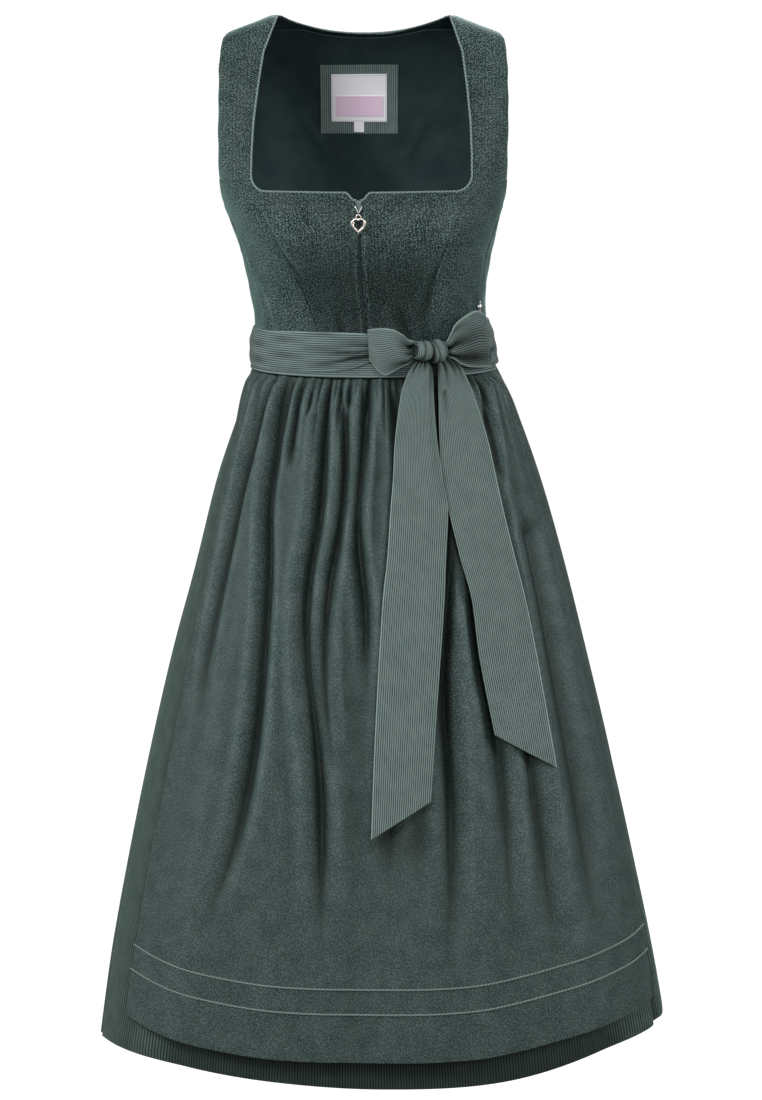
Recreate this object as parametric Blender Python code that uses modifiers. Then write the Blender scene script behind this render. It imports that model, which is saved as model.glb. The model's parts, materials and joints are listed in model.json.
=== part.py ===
"""Dirndl dress with its apron tied on: every cut and sewn piece as its own closed wall of cloth.

The dress is filled out as if worn and is hollow all through. Its frame has the origin between the
two shoulder neck points, +Z up, and the wearer faces -Y, so the wearer's left is +X.
Lengths are in metres.
"""

import math

import bmesh
import bpy
import numpy as np
from mathutils import Matrix, Vector

# ---- driving dimensions ----------------------------------------------------------------------

SEAM_GAP = 0.0003          # between two pieces that are sewn edge to edge
BODICE_WALL = 0.0014
LINING_WALL = 0.0010
LINING_EASE = 0.0028       # from the inside of the back to its lining
SKIRT_WALL = 0.0016
APRON_WALL = 0.0014
SASH_WALL = 0.0013
LABEL_WALL = 0.0008

WAIST_Z = -0.3435          # seam between bodice and skirt
NECK_BOTTOM_Z = -0.1637    # straight lower edge of the square neck
NECK_CORNER_RADIUS = 0.0165
NOTCH_HALF_WIDTH = 0.0115  # small V in the middle of the neck's lower edge
NOTCH_DEPTH = 0.0086
BACK_NECK_DROP = 0.0185    # depth of the back neck below the shoulder neck points
BACK_NECK_HALF_WIDTH = 0.0850
SHOULDER_NECK_X = 0.0900   # where the shoulder slope starts
SHOULDER_SLOPE = 0.40
SHOULDER_SEAM = 0.0006      # half of the gap over the shoulder, where the walls turn down
SHOULDER_FADE_Z = -0.100   # level where the slope of the shoulder has died out
ARMHOLE_BOTTOM_Z = -0.1850
PRINCESS_TOP_Z = NECK_BOTTOM_Z + NECK_CORNER_RADIUS / 2    # front princess seam meets the armhole
BACK_PRINCESS_TOP_Z = -0.1400
ZIP_GAP = 0.0034           # opening between the fronts that shows the zip tape

BUST_FULLNESS = 0.0065     # how far the cups swell out of the plain form
BUST_ANGLE = 36.0
BUST_SPREAD = 19.0
BUST_Z = -0.205
BUST_HEIGHT = 0.036

APRON_TOP_Z = -0.3462
APRON_OUT = 0.0045         # apron's outer face, outside the plain form
APRON_EDGE_OUT = 0.0024    # the same at its side edges, where it lies close on the skirt
APRON_ROOM = 0.0105        # how far the skirt sinks back under the apron
PIPING_RISES = (("apron_piping_lower", 0.0465), ("apron_piping_upper", 0.0705))
PIPING_RADIUS = 0.0012

BAND_TOP_Z = -0.3250       # the apron's own narrow waistband, under the sash
BAND_BOTTOM_Z = -0.3456
BAND_OUT = 0.0020
BAND_WALL = 0.0012
SASH_OUT = 0.0043
SASH_BULGE = 0.0009
SASH_TOP_Z = -0.3050
SASH_LEFT_TOP_Z = -0.2965    # the stretch on the wearer's left is pulled up towards the bow
SASH_BOTTOM_Z = -0.3405

# Stretches of the sash: start and stop angle round the form, columns of its grid and top level.
SASH_STRETCHES = (
    ("sash_right", -90.0, 30.5, 18, SASH_TOP_Z),
    ("sash_left", 34.5, 89.8, 10, SASH_LEFT_TOP_Z),
    ("sash_back", 90.0, 269.8, 26, SASH_TOP_Z),
)

# The plain form of the filled dress, one row for each level.
# twist moves the front sideways, square is the exponent of the superellipse of the section.
FORM_COLUMNS = ("z", "centre", "half_width", "front", "back", "twist", "square")
FORM = (
    (0.0000, 0.0000, 0.1500, 0.0000, 0.0000, 0.0000, 2.50),
    (-0.010, 0.0000, 0.1500, 0.0270, 0.0290, -0.0012, 2.50),
    (-0.040, 0.0000, 0.1500, 0.0560, 0.0620, -0.0030, 2.50),
    (-0.080, 0.0000, 0.1500, 0.0800, 0.0860, -0.0036, 2.50),
    (-0.120, 0.0000, 0.1495, 0.0965, 0.1000, -0.0044, 2.48),
    (-0.150, 0.0000, 0.1465, 0.1065, 0.1055, -0.0048, 2.45),
    (-0.172, 0.0000, 0.1412, 0.1128, 0.1070, -0.0050, 2.40),
    (-0.190, 0.0007, 0.1355, 0.1146, 0.1065, -0.0050, 2.36),
    (-0.220, 0.0020, 0.1263, 0.1120, 0.1030, -0.0034, 2.32),
    (-0.250, 0.0032, 0.1196, 0.1045, 0.0975, -0.0010, 2.30),
    (-0.289, 0.0060, 0.1148, 0.0955, 0.0920, 0.0030, 2.28),
    (-0.320, 0.0086, 0.1166, 0.0935, 0.0915, 0.0034, 2.26),
    (-0.3435, 0.0104, 0.1205, 0.0945, 0.0935, 0.0030, 2.25),
    (-0.353, 0.0110, 0.1250, 0.0990, 0.0990, 0.0020, 2.20),
    (-0.369, 0.0120, 0.1320, 0.1050, 0.1065, 0.0012, 2.18),
    (-0.399, 0.0135, 0.1417, 0.1130, 0.1160, 0.0, 2.15),
    (-0.449, 0.0145, 0.1580, 0.1240, 0.1290, 0.0, 2.12),
    (-0.530, 0.0160, 0.1800, 0.1390, 0.1460, 0.0, 2.10),
    (-0.632, 0.0155, 0.2064, 0.1560, 0.1640, 0.0, 2.08),
    (-0.734, 0.0165, 0.2305, 0.1720, 0.1820, 0.0, 2.06),
    (-0.838, 0.0175, 0.2528, 0.1870, 0.1980, 0.0, 2.05),
    (-0.943, 0.0190, 0.2737, 0.2020, 0.2140, 0.0, 2.05),
    (-1.045, 0.0205, 0.2905, 0.2145, 0.2275, 0.0, 2.05),
)

# Half width of the square neck, down to where its lower corner starts to round.
NECK = ((0.0000, 0.0850), (-0.0060, 0.0872), (-0.032, 0.0972), (-0.067, 0.1020), (-0.100, 0.1055),
        (-0.130, 0.1070), (NECK_BOTTOM_Z + NECK_CORNER_RADIUS, 0.1072))
# Armhole edge of the straps, front and back alike.
ARMHOLE = ((0.0000, 0.1340), (-0.005, 0.1372), (-0.020, 0.1396), (-0.045, 0.1414), (-0.200, 0.1414))
# Front princess seam, from the waist up to the armhole.
PRINCESS = ((-0.3435, 0.0520), (-0.300, 0.0545), (-0.260, 0.0640), (-0.226, 0.0735), (-0.205, 0.0815),
            (-0.185, 0.0930), (-0.170, 0.1085), (-0.161, 0.1270), (PRINCESS_TOP_Z, 0.1414))
# Back princess seam, from the waist up to the armhole.
BACK_PRINCESS = ((-0.3435, 0.0480), (-0.290, 0.0510), (-0.240, 0.0620), (-0.200, 0.0780),
                 (-0.170, 0.1000), (-0.150, 0.1200), (BACK_PRINCESS_TOP_Z, 0.1414))

# Largest folds of the apron: angle round the front at the band and at the hem in degrees, how far
# down the apron the fold starts, is deepest and ends (0 band, 1 hem), width and depth in metres.
FOLD_COLUMNS = ("top_angle", "hem_angle", "start", "deepest", "end", "width", "depth")
APRON_FOLDS = (
    (-80.0, -63.0, 0.00, 0.08, 0.60, 0.0070, 0.0030),
    (-58.5, -61.0, 0.00, 0.10, 0.50, 0.0080, 0.0065),
    (-47.0, -45.0, 0.00, 0.12, 1.10, 0.0100, 0.0090),
    (-39.0, -38.0, 0.00, 0.05, 0.22, 0.0060, 0.0050),
    (-27.0, -17.0, 0.00, 0.12, 1.10, 0.0100, 0.0090),
    (-18.0, -13.0, 0.00, 0.12, 0.75, 0.0090, 0.0080),
    (-5.0, -8.0, 0.00, 0.12, 0.50, 0.0080, 0.0065),
    (9.0, 3.0, 0.00, 0.25, 0.90, 0.0090, 0.0050),
    (33.0, 18.0, 0.00, 0.28, 1.10, 0.0110, 0.0080),
    (41.0, 39.0, 0.00, 0.30, 0.85, 0.0090, 0.0050),
    (50.0, 48.0, 0.00, 0.45, 1.10, 0.0110, 0.0050),
    (59.0, 62.0, 0.00, 0.08, 1.10, 0.0080, 0.0055),
    (71.0, 76.0, 0.00, 0.08, 0.60, 0.0060, 0.0035),
)
# Folds of the skirt where the apron does not cover it, angles on round the back.
SKIRT_FOLDS = (
    (86.0, 82.0, 0.00, 0.30, 1.10, 0.0100, 0.0040),
    (104.0, 101.0, 0.00, 0.20, 1.10, 0.0120, 0.0075),
    (121.0, 120.0, 0.00, 0.12, 0.80, 0.0100, 0.0070),
    (138.0, 134.0, 0.00, 0.25, 1.10, 0.0130, 0.0090),
    (155.0, 157.0, 0.00, 0.15, 0.90, 0.0110, 0.0075),
    (171.0, 170.0, 0.00, 0.30, 1.10, 0.0130, 0.0090),
    (188.0, 192.0, 0.00, 0.18, 0.85, 0.0110, 0.0080),
    (205.0, 206.0, 0.00, 0.28, 1.10, 0.0130, 0.0090),
    (222.0, 226.0, 0.00, 0.12, 0.90, 0.0100, 0.0070),
    (240.0, 243.0, 0.00, 0.22, 1.10, 0.0130, 0.0085),
    (257.0, 261.0, 0.00, 0.15, 1.10, 0.0110, 0.0060),
    (272.0, 275.0, 0.00, 0.30, 1.10, 0.0100, 0.0040),
)
# Side edges of the apron and the levels of both hems, which droop unevenly as they hang.
APRON_SIDES = ((0.00, -88.0, 79.0), (0.10, -87.0, 83.5), (0.30, -84.0, 85.5), (0.60, -78.0, 85.0),
               (0.80, -73.5, 81.5), (1.00, -69.0, 77.5))     # way down, right edge, left edge
APRON_HEM = ((-90.0, -0.976), (-69.0, -0.985), (-55.0, -0.993), (-34.0, -0.998), (0.0, -0.998),
             (25.0, -0.997), (50.0, -0.986), (77.5, -0.974), (90.0, -0.970))      # angle, level
SKIRT_HEM = ((-180.0, -1.012), (-130.0, -1.025), (-95.0, -1.031), (-76.0, -1.021), (-56.0, -1.0185),
             (-31.0, -1.0195), (0.0, -1.0221), (33.0, -1.0173), (62.0, -1.003), (90.0, -0.999),
             (130.0, -1.004), (180.0, -1.012))

# Bow. The loops are bands that run from the knot, turn, and come back behind themselves.
# angle round the form, distance out of it, top and bottom of the band.
LOOP_COLUMNS = ("angle", "out", "top", "bottom")
LOOP_RIGHT = (
    (20.6, 0.0180, -0.3100, -0.3235),
    (17.0, 0.0235, -0.3045, -0.3290),
    (10.6, 0.0275, -0.2976, -0.3360),
    (3.5, 0.0262, -0.2952, -0.3395),
    (-2.4, 0.0215, -0.2957, -0.3290),
    (-2.4, 0.0140, -0.2965, -0.3290),
    (3.5, 0.0090, -0.2975, -0.3370),
    (10.6, 0.0085, -0.2990, -0.3350),
    (20.6, 0.0090, -0.3090, -0.3260),
)
LOOP_LEFT = (
    (42.5, 0.0175, -0.3120, -0.3265),
    (46.0, 0.0205, -0.3040, -0.3330),
    (53.0, 0.0205, -0.2918, -0.3360),
    (62.0, 0.0175, -0.2855, -0.3370),
    (71.0, 0.0145, -0.2870, -0.3378),
    (78.0, 0.0120, -0.2930, -0.3378),
    (78.4, 0.0085, -0.2950, -0.3370),
    (70.0, 0.0078, -0.2960, -0.3370),
    (55.0, 0.0082, -0.2970, -0.3350),
    (43.0, 0.0090, -0.3100, -0.3270),
)
KNOT_ANGLE = 31.5
KNOT_OUT = 0.0165
KNOT_Z = -0.3188
KNOT_SIZE = (0.0340, 0.0200, 0.0210)     # across, through, up

# Tails, seen from the front: left edge, right edge and distance out of the apron's form.
TAIL_COLUMNS = ("left_x", "left_z", "right_x", "right_z", "out")
TAIL_RIGHT = (
    (0.0500, -0.3310, 0.0640, -0.3310, 0.0165),
    (0.0421, -0.3415, 0.0682, -0.3422, 0.0175),
    (0.0377, -0.3507, 0.0682, -0.3514, 0.0165),
    (0.0363, -0.3645, 0.0682, -0.3653, 0.0150),
    (0.0305, -0.4019, 0.0710, -0.4029, 0.0125),
    (0.0285, -0.4396, 0.0768, -0.4408, 0.0120),
    (0.0261, -0.4679, 0.0816, -0.4693, 0.0115),
    (0.0228, -0.5152, 0.0796, -0.5164, 0.0110),
    (0.0180, -0.5625, 0.0777, -0.5637, 0.0110),
    (0.0112, -0.6811, 0.0709, -0.6584, 0.0110),
    (0.0074, -0.7811, 0.0651, -0.7456, 0.0110),
)
TAIL_LEFT = (
    (0.0690, -0.3310, 0.0790, -0.3310, 0.0130),
    (0.0717, -0.3426, 0.0930, -0.3400, 0.0130),
    (0.0716, -0.3519, 0.1010, -0.3500, 0.0115),
    (0.0721, -0.3658, 0.1083, -0.3681, 0.0095),
    (0.0740, -0.4034, 0.1210, -0.4068, 0.0085),
    (0.0778, -0.4412, 0.1297, -0.4451, 0.0080),
    (0.0845, -0.4793, 0.1385, -0.4837, 0.0080),
    (0.0942, -0.5177, 0.1483, -0.5225, 0.0080),
    (0.1049, -0.5562, 0.1582, -0.5616, 0.0080),
    (0.1127, -0.6137, 0.1701, -0.6201, 0.0080),
    (0.1273, -0.6861, 0.1889, -0.7244, 0.0080),
)

SLIDER_TOP_Z = -0.1720
SLIDER_SIZE = (0.0058, 0.0018, 0.0155)
PIVOT_Z = -0.1860          # axis of the zip pull on the slider's bail
PIVOT_OUT = 0.0037         # from the cloth to that axis
BAIL_RADIUS = 0.0019
BAIL_WIRE = 0.00055
PULL_RING_RADIUS = 0.0023
PULL_RING_WIRE = 0.0005
HEART_SIZE = (0.0170, 0.0145)
HEART_WIRE = 0.0009
HEART_OPENING = 0.71        # the opening as a share of the heart

BUTTON_ANGLE = 68.0
BUTTON_Z = -0.2815
BUTTON_RADIUS = 0.0052

# Label patch and what is sewn on it, seen from the front: left, right, top, bottom.
PATCH_EDGES = (-0.0441, 0.0345, -0.0518, -0.1197)
LABEL_EDGES = (-0.0331, 0.0230, -0.0608, -0.1081)
PANEL_EDGES = (-0.0282, 0.0190, -0.0829, -0.1034)
TAB_EDGES = (-0.0102, -0.0001, -0.1085, -0.1181)


# ---- reading the tables ----------------------------------------------------------------------

def smooth(at, knots, values):
    """Smooth curve through (knots, values), knots rising: cubic pieces with shared slopes."""
    knots = np.asarray(knots, float)
    values = np.asarray(values, float)
    slopes = np.gradient(values, knots)
    at = np.clip(np.asarray(at, float), knots[0], knots[-1])
    i = np.clip(np.searchsorted(knots, at) - 1, 0, len(knots) - 2)
    h = knots[i + 1] - knots[i]
    t = (at - knots[i]) / h
    return ((2 * t**3 - 3 * t**2 + 1) * values[i] + (t**3 - 2 * t**2 + t) * h * slopes[i]
            + (3 * t**2 - 2 * t**3) * values[i + 1] + (t**3 - t**2) * h * slopes[i + 1])


def depth_key(z):
    """Levels are read along the square root of their depth, so the shoulders come out round."""
    return np.sqrt(np.maximum(-np.asarray(z, float), 1e-9))


def form_at(z, column):
    index = FORM_COLUMNS.index(column)
    return smooth(depth_key(z), [depth_key(row[0]) for row in FORM], [row[index] for row in FORM])


def edge_at(z, rows):
    """Half width of an edge that is listed as (level, half width) rows."""
    ordered = sorted(rows, key=lambda row: -row[0])
    return np.interp(-np.asarray(z, float), [-row[0] for row in ordered], [row[1] for row in ordered])


# ---- the form --------------------------------------------------------------------------------

def by_angle(angle, z):
    """Point of the form at an angle in degrees (0 front, 90 wearer's left): offset x, and y."""
    phi = np.radians(angle)
    a = form_at(z, "half_width")
    depth = np.where(np.cos(phi) >= 0, form_at(z, "front"), form_at(z, "back"))
    p = form_at(z, "square")
    r = ((np.abs(np.sin(phi)) / a)**p + (np.abs(np.cos(phi)) / depth)**p)**(-1 / p)
    return r * np.sin(phi), -r * np.cos(phi)


def by_width(x, z, front=True):
    """Point of the form at an offset x from its centre line: offset x, and y."""
    a = form_at(z, "half_width")
    p = form_at(z, "square")
    depth = form_at(z, "front" if front else "back")
    y = depth * np.maximum(1 - (np.abs(x) / a)**p, 0)**(1 / p)
    return x, -y if front else y


def outward(x, y, z):
    """Unit normal of the form, from the slope of its superellipse sections."""
    def level(z_value):
        a = form_at(z_value, "half_width")
        depth = np.where(y < 0, form_at(z_value, "front"), form_at(z_value, "back"))
        p = form_at(z_value, "square")
        return (np.abs(x) / a)**p + (np.abs(y) / np.maximum(depth, 1e-5))**p

    z = np.minimum(z, -2e-4)
    a = form_at(z, "half_width")
    depth = np.maximum(np.where(y < 0, form_at(z, "front"), form_at(z, "back")), 1e-5)
    p = form_at(z, "square")
    nx = np.sign(x) * p * np.abs(x / a)**(p - 1) / a
    ny = np.sign(y) * p * np.abs(y / depth)**(p - 1) / depth
    nz = (level(z + 1e-4) - level(z - 1e-4)) / 2e-4
    normal = np.stack([nx, ny, nz], axis=-1)
    return normal / np.linalg.norm(normal, axis=-1, keepdims=True)


def lay(x, y, z, out=0.0):
    """World points for form points (offset x, y, level z), moved out along the form's normal."""
    x, y, z, out = np.broadcast_arrays(*(np.asarray(v, float) for v in (x, y, z, out)))
    normal = outward(x, y, z)
    angle = np.degrees(np.arctan2(np.abs(x), -y))
    aside = (angle - BUST_ANGLE) / BUST_SPREAD
    above = (z - BUST_Z) / BUST_HEIGHT
    bust = BUST_FULLNESS * np.exp(-aside**2 - above**2)
    reach = (out + bust)[..., None] * normal
    front_share = np.clip(-y / np.maximum(np.hypot(x, y), 1e-6), 0, 1)**2
    slope = SHOULDER_SLOPE * np.maximum(np.abs(x) - SHOULDER_NECK_X, 0)
    slope = slope * np.clip(1 - z / SHOULDER_FADE_Z, 0, 1)**2
    across = form_at(z, "centre") + form_at(z, "twist") * front_share + x
    return np.stack([across, y, z - slope], axis=-1) + reach


def seen_at(x, z, out):
    """World point that lies `out` outside the front of the form and is seen at x, z from the front."""
    base_x = np.array(x, float)
    base_z = np.array(z, float)
    for _ in range(6):
        offset = base_x - form_at(base_z, "centre") - form_at(base_z, "twist")
        point = lay(*by_width(offset, base_z), base_z, out)
        base_x = base_x + (x - point[..., 0])
        base_z = base_z + (z - point[..., 2])
    return point


# ---- meshes ----------------------------------------------------------------------------------

def material(name, colour, roughness, metallic=0.0):
    made = bpy.data.materials.new(name)
    made.use_nodes = True
    shader = made.node_tree.nodes["Principled BSDF"]
    shader.inputs["Base Color"].default_value = (*colour, 1.0)
    shader.inputs["Roughness"].default_value = roughness
    shader.inputs["Metallic"].default_value = metallic
    return made


JACQUARD = ((0.048, 0.084, 0.080), 0.60)
LINING = ((0.008, 0.016, 0.017), 0.55)
RIB = ((0.112, 0.156, 0.153), 0.50)
SKIRT_RIB = ((0.062, 0.090, 0.080), 0.60)
APRON_CLOTH = ((0.046, 0.068, 0.063), 0.55)
PIPING = ((0.140, 0.200, 0.180), 0.50)
GUNMETAL = ((0.10, 0.10, 0.11), 0.35, 1.0)
ROSE_GOLD = ((0.75, 0.50, 0.38), 0.25, 1.0)
SILVER = ((0.60, 0.60, 0.60), 0.30, 1.0)
WHITE = ((0.66, 0.64, 0.72), 0.80)
PINK = ((0.48, 0.36, 0.45), 0.80)
PALE = ((0.45, 0.52, 0.48), 0.70)
TAPE = ((0.020, 0.031, 0.033), 0.70)


def finish(name, mesh, look, smooth_angle=40.0):
    """Object of a mesh, with faces turned outwards, in the dress's collection."""
    work = bmesh.new()
    work.from_mesh(mesh)
    bmesh.ops.recalc_face_normals(work, faces=work.faces)
    work.to_mesh(mesh)
    work.free()
    mesh.shade_smooth()
    mesh.set_sharp_from_angle(angle=math.radians(smooth_angle))
    mesh.materials.append(material(name, *look))
    made = bpy.data.objects.new(name, mesh)
    dress.objects.link(made)
    return made


def wall(name, look, outer, inner, cells=None):
    """Closed wall between two grids of points; cells says which squares of the grid are cloth."""
    rows, columns, _ = outer.shape
    if cells is None:
        cells = np.ones((rows - 1, columns - 1), bool)
    number = np.arange(rows * columns).reshape(rows, columns)
    corner = [number[:-1, :-1], number[:-1, 1:], number[1:, 1:], number[1:, :-1]]
    squares = np.stack([c[cells] for c in corner], axis=1)
    count = rows * columns
    faces = [list(square) for square in squares] + [list(square[::-1] + count) for square in squares]
    directed = {(a, b) for square in squares for a, b in zip(square, np.roll(square, -1))}
    rim = sorted((a, b) for a, b in directed if (b, a) not in directed)
    faces += [[b, a, a + count, b + count] for a, b in rim]
    points = np.concatenate([outer.reshape(-1, 3), inner.reshape(-1, 3)])
    used = np.unique(np.concatenate([np.array(face) for face in faces]))
    renumber = {int(old): new for new, old in enumerate(used)}
    mesh = bpy.data.meshes.new(name)
    mesh.from_pydata(points[used].tolist(), [], [[renumber[int(v)] for v in face] for face in faces])
    return finish(name, mesh, look)


def form_wall(name, look, x, y, z, out, thickness, cells=None):
    """Wall that follows the form: its inner face is the outer one moved in along the normal."""
    return wall(name, look, lay(x, y, z, out), lay(x, y, z, np.asarray(out) - thickness), cells)


def round_tube(name, look, path, radius, sides=6):
    """Closed tube along a path, made as a curve with a round bevel and filled ends."""
    curve = bpy.data.curves.new(name, "CURVE")
    curve.dimensions = "3D"
    curve.bevel_depth = radius
    curve.bevel_resolution = (sides - 4) // 2
    curve.use_fill_caps = True
    spline = curve.splines.new("POLY")
    spline.points.add(len(path) - 1)
    for point, place in zip(spline.points, path):
        point.co = (*place, 1.0)
    made = bpy.data.objects.new(name, curve)
    curve.materials.append(material(name, *look))
    dress.objects.link(made)
    return made


def offset_sheet(points, thickness):
    """Grid moved back by a thickness along its own normals."""
    along = np.gradient(points, axis=0)
    across = np.gradient(points, axis=1)
    normal = np.cross(across, along)
    normal /= np.linalg.norm(normal, axis=-1, keepdims=True)
    return points + normal * thickness


# ---- bodice ----------------------------------------------------------------------------------

BODICE_LOW_ROWS = (WAIST_Z, -0.333, -0.320, -0.296, -0.270, -0.245, -0.222, -0.203, -0.188, -0.1755)
CORNER_STEPS = 3
STRAP_ROWS = (-0.125, -0.100, -0.072, -0.046, -0.024, -0.0095, -0.0022, -0.00001)


def neck_edge(z):
    """Half width of the neck at a level, with the quarter circle of its lower corner."""
    into = np.clip(NECK_BOTTOM_Z + NECK_CORNER_RADIUS - z, 0, NECK_CORNER_RADIUS)
    return edge_at(z, NECK) - NECK_CORNER_RADIUS + np.sqrt(NECK_CORNER_RADIUS**2 - into**2)


def front_levels():
    """Levels of the front panel's rows: below the neck, round its corner, and up the strap."""
    turn = np.linspace(0, math.pi / 2, CORNER_STEPS + 1)
    corner = NECK_BOTTOM_Z + NECK_CORNER_RADIUS * (1 - np.cos(turn))
    return np.concatenate([BODICE_LOW_ROWS, corner, STRAP_ROWS])


def bodice_front(side, name):
    """Front panel with its strap. side is -1 for the wearer's right and +1 for the left."""
    levels = front_levels()
    shares = np.array([0.0, 0.155, 0.42, 0.70, 1.0])
    strap_shares = np.array([1 / 3, 2 / 3, 1.0])
    bottom_row = len(BODICE_LOW_ROWS)
    below = levels < PRINCESS_TOP_Z + 1e-6
    seam = np.where(below, edge_at(levels, PRINCESS) - SEAM_GAP / 2, edge_at(levels, ARMHOLE))
    inner_edge = np.where(levels < NECK_BOTTOM_Z, seam * 0.775, neck_edge(levels))
    first = ZIP_GAP / 2
    low = first + (inner_edge[:, None] - first) * shares
    low[:, 1] = NOTCH_HALF_WIDTH
    high = inner_edge[:, None] + (seam - inner_edge)[:, None] * strap_shares
    x = np.concatenate([low, high], axis=1)
    z = np.repeat(levels[:, None], x.shape[1], axis=1)
    z[bottom_row, 0] -= NOTCH_DEPTH * (1 - first / NOTCH_HALF_WIDTH)
    cells = np.ones((x.shape[0] - 1, x.shape[1] - 1), bool)
    cells[bottom_row:, :len(shares) - 1] = False
    x, y = by_width(x, z)
    y = np.minimum(y, -SHOULDER_SEAM)
    return form_wall(name, JACQUARD, side * x, y, z, 0.0, BODICE_WALL, cells)


def side_panel(side, name, seam_rows, seam_levels, front):
    """Panel between a princess seam and the side seam, its top cut by the armhole's lower curve."""
    shares = np.linspace(0, 1, 5)
    seam_top = seam_levels[-1]
    top = ARMHOLE_BOTTOM_Z + (seam_top - ARMHOLE_BOTTOM_Z) * (1 - shares)**2.2
    steps = (seam_levels - WAIST_Z) / (seam_top - WAIST_Z)
    z = WAIST_Z + (top[None, :] - WAIST_Z) * steps[:, None]
    seam_x = edge_at(z[:, 0], seam_rows) + SEAM_GAP / 2
    seam_x, seam_y = by_width(seam_x, z[:, 0], front)
    start = np.degrees(np.arctan2(seam_x, -seam_y))
    stop = 90.0 + (-1 if front else 1) * np.degrees(SEAM_GAP / 2 / 0.07)
    angle = start[:, None] + (stop - start)[:, None] * shares
    x, y = by_angle(angle, z)
    return form_wall(name, JACQUARD, side * x, y, z, 0.0, BODICE_WALL)


def back_neck_level(x):
    """Top edge of the back: the neck curve, then the shoulder seams."""
    inside = np.clip(1 - (np.abs(x) / BACK_NECK_HALF_WIDTH)**2.2, 0, 1)
    return -np.maximum(BACK_NECK_DROP * inside, 1e-5)


BACK_STEPS = (0.0, 0.07, 0.14, 0.21, 0.28, 0.32, 0.338, 0.44, 0.52, 0.60, 0.68, 0.76, 0.84, 0.91,
              0.965, 1.0)
BACK_COLUMNS = (0.016, 0.045, 0.070, 0.0920, 0.1120, 0.1280)
LINING_COLUMNS = (0.0580, 0.0660, 0.0830, 0.1030, 0.1200)    # beside the labels, on each side
LINING_LOW_ROWS = (WAIST_Z + 0.002, -0.290, -0.235, -0.180, -0.145)
LINING_HIGH_ROWS = (-0.038, -0.027)
LINING_STRAIGHT = 0.050    # columns closer to the middle than this run straight up


def back_steps():
    """Shares of the way up the back, one of them where the back princess seam ends."""
    low, high = depth_key(WAIST_Z), depth_key(-1e-5)
    return np.array(sorted([*BACK_STEPS, float((low - depth_key(BACK_PRINCESS_TOP_Z)) / (low - high))]))


def back_seam_levels():
    low, high = depth_key(WAIST_Z), depth_key(-1e-5)
    levels = -(low + (high - low) * back_steps())**2
    return levels[levels < BACK_PRINCESS_TOP_Z + 1e-6]


def front_seam_levels():
    levels = front_levels()
    return levels[levels < PRINCESS_TOP_Z + 1e-6]


def back_grid(outer_edge):
    """Grid of the back: columns spread to the seam or armhole edge, rows end on its top edge."""
    half = np.array([*BACK_COLUMNS, outer_edge]) / outer_edge
    columns = np.concatenate([-half[::-1], half])
    top = back_neck_level(columns * outer_edge)
    key = depth_key(WAIST_Z) + (depth_key(top)[None, :] - depth_key(WAIST_Z)) * back_steps()[:, None]
    return columns, -key**2


def bodice_back():
    edge_top = ARMHOLE[-1][1]
    columns, z = back_grid(edge_top)
    below = z < BACK_PRINCESS_TOP_Z + 1e-6
    half = np.where(below, edge_at(z, BACK_PRINCESS) - SEAM_GAP / 2, edge_at(z, ARMHOLE))
    x, y = by_width(columns[None, :] * half, z, front=False)
    y = np.maximum(y, SHOULDER_SEAM)
    return form_wall("bodice_back", JACQUARD, x, y, z, 0.0, BODICE_WALL)


def lining_grid():
    """Columns and rows of the back's lining, some of them on the edges of the labels."""
    label_edges = (PATCH_EDGES, LABEL_EDGES, PANEL_EDGES, TAB_EDGES)
    label_columns = sorted({e for edges in label_edges for e in edges[:2]})
    label_levels = sorted({e for edges in label_edges for e in edges[2:]})
    beside = np.array(LINING_COLUMNS)
    marks = np.concatenate([-beside[::-1], label_columns, beside])
    levels = np.concatenate([LINING_LOW_ROWS, label_levels, LINING_HIGH_ROWS])
    return marks, levels


def back_lining():
    marks, levels = lining_grid()
    edge = LINING_COLUMNS[-1]
    z = np.repeat(levels[:, None], len(marks), axis=1)
    top_row = np.minimum(back_neck_level(marks) - 0.0040, -0.0150)
    z = np.concatenate([z, top_row[None, :]], axis=0)
    half = np.minimum(form_at(z, "half_width") * 0.975, edge)
    aside = np.abs(marks)[None, :]
    beyond = np.maximum(aside - LINING_STRAIGHT, 0) * (half - LINING_STRAIGHT) / (edge - LINING_STRAIGHT)
    spread = np.minimum(aside, LINING_STRAIGHT) + beyond
    x, y = by_width(np.sign(marks)[None, :] * spread, z, front=False)
    return form_wall("back_lining", LINING, x, y, z, -BODICE_WALL - LINING_EASE, LINING_WALL)


def label_piece(name, look, edges, out, thickness):
    """Rectangle of cloth on the lining, made from the lining's own points moved in."""
    marks, levels = lining_grid()
    left, right, top, bottom = edges
    x = marks[(marks >= left - 1e-6) & (marks <= right + 1e-6)]
    z = levels[(levels >= bottom - 1e-6) & (levels <= top + 1e-6)]
    x, z = np.meshgrid(x, z)
    x, y = by_width(x, z, front=False)
    return form_wall(name, look, x, y, z, out, thickness)


def labels():
    out = -BODICE_WALL - LINING_EASE - LINING_WALL
    step = LABEL_WALL + SEAM_GAP
    pieces = (
        ("label_patch", RIB, PATCH_EDGES, 1),
        ("label", WHITE, LABEL_EDGES, 2),
        ("label_panel", PINK, PANEL_EDGES, 3),
        ("size_tab", WHITE, TAB_EDGES, 2),
    )
    for name, look, edges, layer in pieces:
        label_piece(name, look, edges, out - SEAM_GAP - (layer - 1) * step, LABEL_WALL)


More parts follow.
